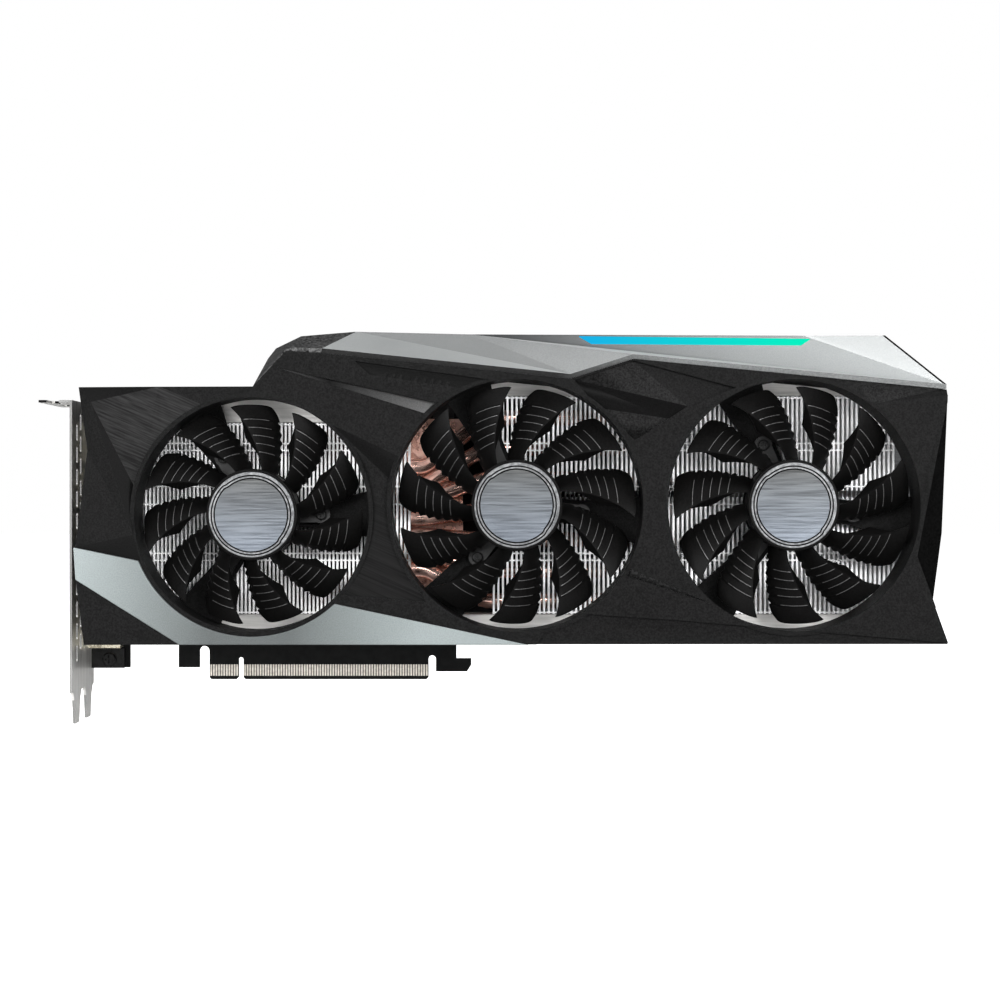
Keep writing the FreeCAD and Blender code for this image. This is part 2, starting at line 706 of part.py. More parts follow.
def right_reliefs():
    """Facets between the middle and right fans and over the right fan."""
    k = peak_x - 148.0
    r = fan_centres["right"][0] - 206.0
    crown = relief([(k + 126.5, 112.4, 0.0), (k + 148.0, 119.4, 1.4), (r + 184.9, 109.6, 1.6),
                    (r + 167.4, 102.9, 0.0), (r + 160.9, 98.5, 2.4), (k + 135.1, 102.4, 2.4),
                    (k + 148.5, 90.7, 0.0)],
                   [(0, 1, 3), (1, 2, 3), (0, 3, 4, 5), (5, 4, 6)])
    brow = relief([(r + 235.5, 103.8, 0.0), (tail_x - 0.3, 107.0, 0.5), (tail_x - 0.3, 109.6, 2.4),
                   (r + 206.0, 114.9, 2.2)], [(0, 1, 2), (0, 2, 3)])
    return crown, brow


def tail_reliefs():
    """Slanting facets down the tail end."""
    return relief([(tail_x, 106.4, 0.6), (tail_x - 11.3, 48.7, 0.0), (tail_x + 0.4, 57.5, 6.6),
                   (tail_x - 4.0, 29.9, 6.6), (tail_x + 0.6, 16.0, 0.4), (tail_x + 0.8, 107.0, 0.8)],
                  [(0, 1, 2), (1, 3, 2), (1, 4, 3), (0, 2, 5)])


gloss_wedges = {
    "upper": [(18.8, 116.9, 0.3), (fan_centres["middle"][0] - 28.4, 103.9, 2.0),
              (fan_centres["middle"][0] - 33.2, 100.2, 0.3)],
    "lower": [(fan_centres["right"][0] - 60.2, 44.6, 0.3), (fan_centres["right"][0] - 30.0, 31.6, 0.3),
              (fan_centres["right"][0] - 62.3, 42.2, 2.0)],
}
wedge_t = 0.8
name_recess = [(47.2, 119.2), (52.6, 114.3), (86.9, 109.3), (96.5, 112.4)]
name_recess_d = 0.8
ledge_d = 1.3


def accent_outline(grow=0.0):
    """Swept silver trim around the foot of the left fan, as a solid of the trim's thickness."""
    cx, cz, _, _, _ = fan_centres["left"]
    corners = [(left_x - 1.7, 51.9), (-30.1, 46.9), (cx, cz), (38.7, 31.8), (110.0, 16.7), (-16.1, 16.7),
               (left_x - 0.9, 40.2)]
    solid = prism_xz(corners, front_y - 0.5 - grow, front_y + 1.6 + grow)
    return solid.cut(rod_y(cx, cz, opening_r("left") + duct_wall - grow, front_y - 3, front_y + 6))


def motor_seat(name):
    """Round seat and three arms that carry a fan's motor inside its opening."""
    cx, cz, _, arm_deg, _ = fan_centres[name]
    y0 = front_y + duct_length - arm_t
    y1 = front_y + duct_length
    seat = [rod_y(cx, cz, hub_r, y0, y1)]
    for i in range(3):
        deg = arm_deg + 120.0 * i
        reach = opening_r(name) + 0.8
        wide, narrow = 9.0, 4.5
        a = math.radians(deg)
        along, across = (math.sin(a), math.cos(a)), (math.cos(a), -math.sin(a))
        corners = [(cx + along[0] * r + across[0] * w, cz + along[1] * r + across[1] * w)
                   for r, w in ((8.0, -narrow), (8.0, narrow), (boss_at_r, narrow), (reach, wide),
                                (reach, -wide), (boss_at_r, -narrow))]
        seat.append(prism_xz(corners, y0, y1))
    return seat


def boss_spots(name):
    cx, cz, _, arm_deg, _ = fan_centres[name]
    return [polar(cx, cz, boss_at_r, arm_deg + 120.0 * i) for i in range(3)]


def recess_bars():
    """Row of slanted ribs standing in the sunk band over the middle fan."""
    bars = []
    for i in range(9):
        x = 57.0 + i * 2.8
        z = 115.4 - i * 0.40
        bars.append(prism_xz([(x, z - 2.6), (x + 1.1, z - 2.76), (x + 2.3, z - 0.4), (x + 1.2, z - 0.24)],
                             front_y + name_recess_d - 0.35, front_y + name_recess_d + 0.3))
    return bars


def inside_shroud(inset, y0, y1):
    """Prism inside the shroud's outline, inset from it all round."""
    outline = Part.makePolygon([Vec(x, y0, z) for x, z in shroud_outline + shroud_outline[:1]])
    return Part.Face(outline.makeOffset2D(-inset, 2, False, False)).extrude(Vec(0, y1 - y0, 0))


def make_shroud():
    back = front_y + wall_depth
    body = prism_xz(shroud_outline, front_y, back)
    inner = inside_shroud(wall_t, front_y + plate_t, back + 1)
    inner = inner.common(box(-200, tail_x - tail_wall, front_y, 50, -50, 300))
    body = body.cut(inner)
    crown, brow = right_reliefs()
    tools = [left_reliefs(), middle_reliefs(), crown, brow, tail_reliefs(), accent_outline(fit_gap)]
    tools.append(prism_xz(name_recess, front_y - 1, front_y + name_recess_d))
    for wedge in gloss_wedges.values():
        grown = [(x, z, d + wedge_t + fit_gap) for x, z, d in wedge]
        tools.append(relief(grown, [(0, 1, 2)]))
    mx = fan_centres["middle"][0]
    tools.append(prism_xz([(mx + 14.0, 27.4), (mx + 22.0, 28.0), (mx + 58.0, 25.6), (tail_x + 1, 17.3),
                           (tail_x + 1, 10.0), (mx + 2.5, 10.0)], front_y - 1, front_y + ledge_d))
    body = body.cut(tools)
    for name in fan_centres:
        cx, cz = fan_centres[name][:2]
        r = opening_r(name)
        body = body.fuse(ring_y(cx, cz, r + duct_wall, r - 1.0, front_y + 0.5, front_y + duct_length))
        seat = motor_seat(name)
        body = body.cut(rod_y(cx, cz, r, front_y - 3, back + 1))
        body = body.multiFuse(seat)
    body = body.common(prism_xz(shroud_outline, front_y, back)).multiFuse(recess_bars())
    body = body.multiFuse([box(x - leg_half, x + leg_half, back - 6, backplate_y0, z - 5, z + 5)
                           for x, z in tail_legs])
    body = body.cut([rod_y(x, z, board_screw_r, backplate_y0 - 8, backplate_y0 + 1) for x, z in tail_legs])
    for name in fan_centres:
        for x, z in boss_spots(name):
            body = body.cut(rod_y(x, z, screw_r + 0.05, front_y, back + 1))
    body = body.removeSplitter()
    add("front_shroud", max(body.Solids, key=lambda s: s.Volume))


def make_trims():
    add("silver_swoosh", accent_outline())
    wedges = []
    for wedge in gloss_wedges.values():
        top = [Vec(x, front_y + d, z) for x, z, d in wedge]
        wedges.append(slab(top, [(0, 1, 2)], lambda p: p + Vec(0, wedge_t, 0)))
    for name in ("left", "middle", "right"):
        cx, cz = fan_centres[name][:2]
        cutter = rod_y(cx, cz, opening_r(name) + duct_wall + fit_gap, front_y - 3, front_y + 8)
        wedges = [w.cut(cutter) for w in wedges]
    add("gloss_wedges", wedges)


# top panel, end cap and light
panel_front_y = front_y + 1.4
crest_y = front_y + 32.0
panel_rise = 1.8
panel_skin = 2.2
crest_left_x = 45.4
crest_knee_x = 88.4
crest_right_x = tail_x - 16.7
panel_right_x = tail_x - 0.5


def envelope():
    """Everything under the shroud's top edges, a fitting gap larger."""
    top = [(-200.0, 109.8), (left_x, 109.8)] + shroud_outline[1:7] + [(tail_x + 50, 109.0)]
    return prism_xz([(-200.0, 0.0)] + [(x, z + fit_gap) for x, z in top] + [(tail_x + 50, 0.0)],
                    front_y - 10, front_y + 60)


def wedge_shell(top, triangles, x_walls):
    """Hollow wedge under a faceted surface: skin, front, end walls and a wall at the crest."""
    deep = slab(top, triangles, lambda p: p - Vec(0, 0, 60))
    sunk = [p - Vec(0, 0, panel_skin) for p in top]
    core = slab(sunk, triangles, lambda p: p - Vec(0, 0, 60))
    core = core.common(box(x_walls[0], x_walls[1], panel_front_y + 5, crest_y - 2.0, 0, 300))
    return deep.cut(envelope()).cut(core)


def panel_points():
    k = shroud_outline
    rise = panel_rise
    top = [Vec(k[3][0], panel_front_y, k[3][1] + rise), Vec(k[4][0], panel_front_y, k[4][1] + rise),
           Vec(k[5][0], panel_front_y, k[5][1] + rise), Vec(panel_right_x, panel_front_y, 109.1 + rise),
           Vec(crest_left_x, crest_y, crest_height), Vec(crest_knee_x, crest_y, crest_height - 1.0),
           Vec(tail_x - 41.3, crest_y, crest_height - 1.5), Vec(crest_right_x, crest_y, crest_height - 1.4)]
    return top, [(0, 1, 4), (1, 5, 4), (1, 2, 5), (2, 3, 5), (5, 3, 6), (6, 3, 7)]


def on_upper_facet(x, y):
    """Point of the top panel's rear facet at that x and y."""
    top, _ = panel_points()
    a, b, c = top[5], top[3], top[6]
    n = (b - a).cross(c - a)
    return Vec(x, y, a.z - (n.x * (x - a.x) + n.y * (y - a.y)) / n.z)


def light_corners(grow):
    y = crest_y
    corners = [(129.5 - grow, y - 1.4 + grow), (tail_x - 45.5 + grow, y - 2.6 + grow),
               (tail_x - 49.5 + grow, y - 6.4 - grow), (134.0 - grow, y - 6.0 - grow)]
    return [on_upper_facet(*corner) for corner in corners]


def make_top():
    top, triangles = panel_points()
    panel = wedge_shell(top, triangles, (crest_left_x + 3, crest_right_x - 4))
    lift = Vec(0, 0, 1.0)
    pocket = slab([p + lift for p in light_corners(fit_gap)], [(0, 1, 2), (0, 2, 3)],
                  lambda p: p - Vec(0, 0, 6))
    add("top_panel", panel.cut(pocket))
    light = slab([p + Vec(0, 0, 0.3) for p in light_corners(0.0)], [(0, 1, 2), (0, 2, 3)],
                 lambda p: p - Vec(0, 0, 2.4))
    add("light_bar", light)
    board = slab([p - Vec(0, 0, 2.9) for p in light_corners(-0.4)], [(0, 1, 2), (0, 2, 3)],
                 lambda p: p - Vec(0, 0, 1.0))
    add("light_board", board)
    a, b, c = shroud_outline[1:4]
    cap = [Vec(a[0], panel_front_y, a[1] + 0.4), Vec(b[0], panel_front_y, b[1] + 1.2),
           Vec(c[0] - 0.1, panel_front_y, c[1] + panel_rise), Vec(8.2, crest_y, 111.4),
           Vec(12.2, crest_y, 122.4), Vec(15.2, crest_y, 126.2), Vec(24.7, crest_y, crest_height - 1.7),
           Vec(crest_left_x - 0.1, crest_y, crest_height)]
    cap_triangles = [(0, 4, 3), (0, 1, 4), (1, 5, 4), (1, 6, 5), (1, 2, 6), (2, 7, 6)]
    add("top_end_cap", wedge_shell(cap, cap_triangles, (18.0, 34.0)))


# fans
rotor_front_y = front_y + 0.9
rotor_back_y = front_y + duct_length - arm_t - base_t - 1.4
blade_front_y = front_y + 2.0
blade_back_y = rotor_back_y - 0.4


def blade_section(r, deg, half_deg, y_lead, y_trail, lead_side, thick, camber):
    """Closed section at radius r: lead_side is -1 when the leading edge is anticlockwise."""
    a = math.radians(deg)
    radial, tangent = Vec(math.sin(a), 0, math.cos(a)), Vec(math.cos(a), 0, -math.sin(a))
    half = r * math.tan(math.radians(half_deg))
    lead = radial * r + tangent * (lead_side * half) + Vec(0, y_lead, 0)
    trail = radial * r - tangent * (lead_side * half) + Vec(0, y_trail, 0)
    chord = trail - lead
    normal = radial.cross(chord).normalize()
    if normal.y > 0:
        normal = normal * -1
    mid = (lead + trail) * 0.5 + normal * camber
    edge = thick * 0.25
    lead_up, trail_up, mid_up = lead + normal * edge, trail + normal * edge, mid + normal * (thick / 2)
    lead_dn, trail_dn, mid_dn = lead - normal * edge, trail - normal * edge, mid - normal * (thick / 2)
    return Part.Wire([Part.Arc(lead_up, mid_up, trail_up).toShape(), Part.makeLine(trail_up, trail_dn),
                      Part.Arc(trail_dn, mid_dn, lead_dn).toShape(), Part.makeLine(lead_dn, lead_up)])


def make_rotor(name):
    cx, cz, tip_r, _, turn = fan_centres[name]
    root = hub_r - 0.6
    span = tip_r - root
    sweep = -blade_sweep_deg * turn
    first = first_blade_deg[name]
    depth = blade_back_y - blade_front_y
    sections = []
    for share, half_deg, front_share in ((0.0, 11.5, 0.14), (0.5, 11.6, 0.04), (1.03, 11.9, 0.10)):
        r = root + span * share
        deg = -sweep * (1.0 - share)
        sections.append(blade_section(r, deg, half_deg, blade_front_y + depth * front_share,
                                      blade_back_y - depth * 0.05, -turn, 1.3, 1.3))
    blade = Part.makeLoft(sections, True, False)
    blade = blade.common(rod_y(0, 0, tip_r, front_y - 5, front_y + 30))
    cup = rod_y(0, 0, hub_r, rotor_front_y, rotor_back_y)
    cup = cup.makeFillet(0.8, [e for e in cup.Edges if e.BoundBox.YMax < rotor_front_y + 0.01])
    blades = []
    for i in range(blade_count):
        copy = blade.copy()
        copy.rotate(Vec(0, 0, 0), Vec(0, 1, 0), first + i * 360.0 / blade_count)
        blades.append(copy)
    rotor = cup.multiFuse(blades)
    bore_r = hub_r - hub_wall
    rotor = rotor.cut(rod_y(0, 0, bore_r, rotor_front_y + 2.2, rotor_back_y + 3))
    rotor = rotor.cut(rod_y(0, 0, badge_r + 0.05, rotor_front_y - 2, rotor_front_y + badge_t - 0.3))
    rotor = rotor.cut(rod_y(0, 0, shaft_r, rotor_front_y - 2, rotor_back_y))
    rotor.translate(Vec(cx, 0, cz))
    add("fan_" + name + "_rotor", rotor)
    badge_front = rotor_front_y - 0.3
    badge = rod_y(cx, cz, badge_r, badge_front, badge_front + badge_t)
    for r in (badge_r - 1.3, badge_r - 2.4):
        badge = badge.cut(ring_y(cx, cz, r + 0.28, r - 0.28, badge_front - 1, badge_front + 0.25))
    add("fan_" + name + "_badge", badge)
    shaft_back = front_y + duct_length - arm_t - 0.4
    add("fan_" + name + "_shaft", rod_y(cx, cz, shaft_r, rotor_front_y + badge_t - 0.3, shaft_back))
    add("fan_" + name + "_magnet",
        ring_y(cx, cz, bore_r, bore_r - magnet_t, rotor_front_y + 2.6, rotor_back_y - 0.4))


def make_motor(name):
    cx, cz = fan_centres[name][:2]
    y1 = front_y + duct_length - arm_t
    y0 = y1 - base_t
    plate = [rod_y(cx, cz, hub_r - 0.4, y0, y1)]
    for x, z in boss_spots(name):
        plate.append(rod_y(x, z, boss_r, y0, y1))
        dx, dz = x - cx, z - cz
        side = Vec(dz, 0, -dx).normalize() * (boss_r * 0.9)
        plate.append(prism_xz([(cx + side.x, cz + side.z), (x + side.x, z + side.z),
                               (x - side.x, z - side.z), (cx - side.x, cz - side.z)], y0, y1))
    tube_r = shaft_r + running_gap + bearing_wall
    tube_top = rotor_front_y + 3.2
    plate.append(rod_y(cx, cz, tube_r + tube_wall, tube_top, y1))
    base = fuse_all(plate).removeSplitter()
    base = base.cut(rod_y(cx, cz, tube_r, tube_top - 1, y1 - 0.8))
    for x, z in boss_spots(name):
        base = base.cut(rod_y(x, z, screw_r + 0.05, y0 - 1, y1 + 1))
    shaft_back = front_y + duct_length - arm_t - 0.4
    base = base.cut(rod_y(cx, cz, shaft_r + running_gap, y0, shaft_back + 0.1))
    add("fan_" + name + "_base", base)
    add("fan_" + name + "_bearing",
        ring_y(cx, cz, tube_r, shaft_r + running_gap, tube_top, y1 - 0.8))
    core = []
    inner = tube_r + tube_wall
    outer = hub_r - hub_wall - magnet_t - 0.5
    ya, yb = rotor_front_y + 3.6, rotor_back_y - 1.0
    core.append(ring_y(cx, cz, inner + 2.0, inner, ya, yb))
    for i in range(6):
        arm = box(-1.4, 1.4, ya, yb, inner + 1.0, outer - 0.6)
        shoe = ring_y(0, 0, outer, outer - 1.4, ya, yb).common(box(-4.0, 4.0, ya, yb, 0, outer + 1))
        pole = arm.fuse(shoe)
        pole.rotate(Vec(0, 0, 0), Vec(0, 1, 0), 60.0 * i)
        pole.translate(Vec(cx, 0, cz))
        core.append(pole)
    add("fan_" + name + "_stator", fuse_all(core).removeSplitter())


def make_fan_screws():
    y_seat = front_y + duct_length - arm_t - base_t
    add("fan_screws", [screw(x, z, y_seat, -1, screw_r, base_t + arm_t - 0.2, screw_head_r, screw_head_t)
                       for name in fan_centres for x, z in boss_spots(name)])


def build():
    make_board()
    make_contacts()
    make_board_parts()
    make_sockets()
    make_bracket()
    make_power_sockets()
    make_switch()
    make_cold_plate()
    make_pipes()
    make_fins()
    make_rails()
    make_backplate()
    make_shroud()
    make_trims()
    make_top()
    for name in fan_centres:
        make_rotor(name)
        make_motor(name)
    make_fan_screws()


build()
os.makedirs("parts", exist_ok=True)
for node, shape in parts.items():
    shape.exportStep("parts/" + node + ".step")
print(len(parts), "nodes written")
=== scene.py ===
import bpy
import bmesh
import math
from mathutils import Matrix, Vector


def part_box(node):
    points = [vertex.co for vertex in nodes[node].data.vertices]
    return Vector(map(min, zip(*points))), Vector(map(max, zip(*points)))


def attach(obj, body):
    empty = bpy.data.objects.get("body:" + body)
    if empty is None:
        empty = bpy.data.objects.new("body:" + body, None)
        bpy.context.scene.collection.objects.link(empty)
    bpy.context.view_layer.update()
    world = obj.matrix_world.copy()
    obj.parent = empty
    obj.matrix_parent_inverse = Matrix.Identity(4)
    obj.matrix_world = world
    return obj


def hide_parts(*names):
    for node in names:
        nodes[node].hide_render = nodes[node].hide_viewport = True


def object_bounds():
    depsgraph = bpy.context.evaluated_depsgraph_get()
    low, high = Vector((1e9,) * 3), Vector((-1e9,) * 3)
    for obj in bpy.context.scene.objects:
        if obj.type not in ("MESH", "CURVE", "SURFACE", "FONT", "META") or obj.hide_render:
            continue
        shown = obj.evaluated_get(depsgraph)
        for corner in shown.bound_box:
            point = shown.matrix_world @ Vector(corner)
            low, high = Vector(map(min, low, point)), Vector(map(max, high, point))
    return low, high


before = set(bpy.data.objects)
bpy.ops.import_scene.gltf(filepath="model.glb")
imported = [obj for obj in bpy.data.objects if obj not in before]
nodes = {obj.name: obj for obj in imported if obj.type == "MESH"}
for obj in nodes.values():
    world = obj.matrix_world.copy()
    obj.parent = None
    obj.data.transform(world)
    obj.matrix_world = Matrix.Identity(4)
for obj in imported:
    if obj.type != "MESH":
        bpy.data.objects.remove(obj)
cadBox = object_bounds()
mm = 0.001
scene = bpy.context.scene
print("frame loaded,", len(nodes), "nodes")


# small helpers for shader trees

def newMaterial(name):
    mat = bpy.data.materials.new(name)
    mat.use_nodes = True
    return mat, mat.node_tree, mat.node_tree.nodes["Principled BSDF"]


def objectCoords(tree, squeeze=(1, 1, 1), turn=(0, 0, 0)):
    # turned first, then squeezed along the turned axes
    coords = tree.nodes.new("ShaderNodeTexCoord")
    mapping = tree.nodes.new("ShaderNodeMapping")
    mapping.vector_type = "TEXTURE"
    mapping.inputs["Rotation"].default_value = [math.radians(a) for a in turn]
    mapping.inputs["Scale"].default_value = [1 / s for s in squeeze]
    tree.links.new(coords.outputs["Object"], mapping.inputs["Vector"])
    return mapping.outputs["Vector"]


def noise(tree, vector, scale, detail=3.0, rough=0.55):
    node = tree.nodes.new("ShaderNodeTexNoise")
    node.inputs["Scale"].default_value = scale
    node.inputs["Detail"].default_value = detail
    node.inputs["Roughness"].default_value = rough
    tree.links.new(vector, node.inputs["Vector"])
    return node.outputs["Fac"]


def spread(tree, value, low, high, fromLow=0.3, fromHigh=0.7):
    node = tree.nodes.new("ShaderNodeMapRange")
    node.inputs["From Min"].default_value = fromLow
    node.inputs["From Max"].default_value = fromHigh
    node.inputs["To Min"].default_value = low
    node.inputs["To Max"].default_value = high
    tree.links.new(value, node.inputs["Value"])
    return node.outputs["Result"]


def blendColours(tree, share, a, b):
    node = tree.nodes.new("ShaderNodeMix")
    node.data_type = "RGBA"
    aSocket = [s for s in node.inputs if s.name == "A" and s.type == "RGBA"][0]
    bSocket = [s for s in node.inputs if s.name == "B" and s.type == "RGBA"][0]
    for socket, colour in ((aSocket, a), (bSocket, b)):
        if isinstance(colour, (tuple, list)):
            socket.default_value = (*colour, 1.0)
        else:
            tree.links.new(colour, socket)
    factor = [s for s in node.inputs if s.name == "Factor" and s.type == "VALUE"][0]
    tree.links.new(share, factor)
    return [s for s in node.outputs if s.type == "RGBA"][0]


def maths(tree, kind, a, b=None):
    node = tree.nodes.new("ShaderNodeMath")
    node.operation = kind
    for socket, value in zip(node.inputs, (a, b)):
        if value is None:
            continue
        if isinstance(value, (int, float)):
            socket.default_value = value
        else:
            tree.links.new(value, socket)
    return node.outputs[0]


def addBump(tree, shader, height, strength, depth):
    bump = tree.nodes.new("ShaderNodeBump")
    bump.inputs["Strength"].default_value = strength
    bump.inputs["Distance"].default_value = depth
    tree.links.new(height, bump.inputs["Height"])
    tree.links.new(bump.outputs["Normal"], shader.inputs["Normal"])


# what a finish takes where it says nothing, and how the grain of every finish is mixed

plainFinish = {
    "grain": 900.0, "stretch": (1, 1, 1), "turn": (0, 0, 0), "bump": 0.15, "depth": 0.00005,
    "metal": 0.0, "specular": 0.5,
}
grainPlan = {
    "fineDetail": 4.0, "fineShare": 0.9, "broadScale": 60.0, "broadDetail": 2.0, "broadShare": 0.1,
    "low": 0.38, "high": 0.62,  # the noise that gives the dark tone, and the light one
    "mapLow": 0.1, "mapHigh": 0.9,  # the part of a flat map over which the painted reflection drifts
}


def paintedLightAlong(tree, paintedLight, plain, tone, colour):
    # painted light and shade: to a second pair of tones, away from one place along an axis, in millimetres
    axis, middle, start, reach, darkEnd, lightEnd = paintedLight
    parts = tree.nodes.new("ShaderNodeSeparateXYZ")
    tree.links.new(plain, parts.inputs[0])
    away = maths(tree, "ABSOLUTE", maths(tree, "SUBTRACT", parts.outputs[axis], middle * mm))
    end = blendColours(tree, tone, darkEnd, lightEnd)
    return blendColours(tree, spread(tree, away, 0.0, 1.0, start * mm, reach * mm), colour, end)


def paintedReflectionOverMap(tree, endTones, tone, colour):
    # a painted reflection: to a second pair of tones at the low edge of the piece's own flat map
    flat = tree.nodes.new("ShaderNodeUVMap")
    flat.uv_map = "face"
    parts = tree.nodes.new("ShaderNodeSeparateXYZ")
    tree.links.new(flat.outputs["UV"], parts.inputs[0])
    end = blendColours(tree, tone, *endTones)
    share = spread(tree, parts.outputs["Y"], 1.0, 0.0, grainPlan["mapLow"], grainPlan["mapHigh"])
    return blendColours(tree, share, colour, end)


def makeFinish(name, settings):
    f = {**plainFinish, **settings}
    low, high = grainPlan["low"], grainPlan["high"]
    mat, tree, shader = newMaterial(name)
    plain = objectCoords(tree)
    fine = noise(tree, objectCoords(tree, f["stretch"], f["turn"]), f["grain"], grainPlan["fineDetail"])
    broad = noise(tree, plain, grainPlan["broadScale"], grainPlan["broadDetail"])
    both = maths(tree, "ADD", maths(tree, "MULTIPLY", fine, grainPlan["fineShare"]),
                 maths(tree, "MULTIPLY", broad, grainPlan["broadShare"]))
    tone = spread(tree, both, 0.0, 1.0, low, high)
    colour = blendColours(tree, tone, f["dark"], f["light"])
    # painted light and shade that drifts along an axis
    if "paintedLight" in f:
        colour = paintedLightAlong(tree, f["paintedLight"], plain, tone, colour)
    # a painted reflection drifting over the piece's flat map
    if "across" in f:
        colour = paintedReflectionOverMap(tree, f["across"], tone, colour)
    tree.links.new(colour, shader.inputs["Base Color"])
    tree.links.new(spread(tree, both, *f["rough"], low, high), shader.inputs["Roughness"])
    shader.inputs["Metallic"].default_value = f["metal"]
    shader.inputs["Specular IOR Level"].default_value = f["specular"]
    addBump(tree, shader, fine, f["bump"], f["depth"])
    return mat
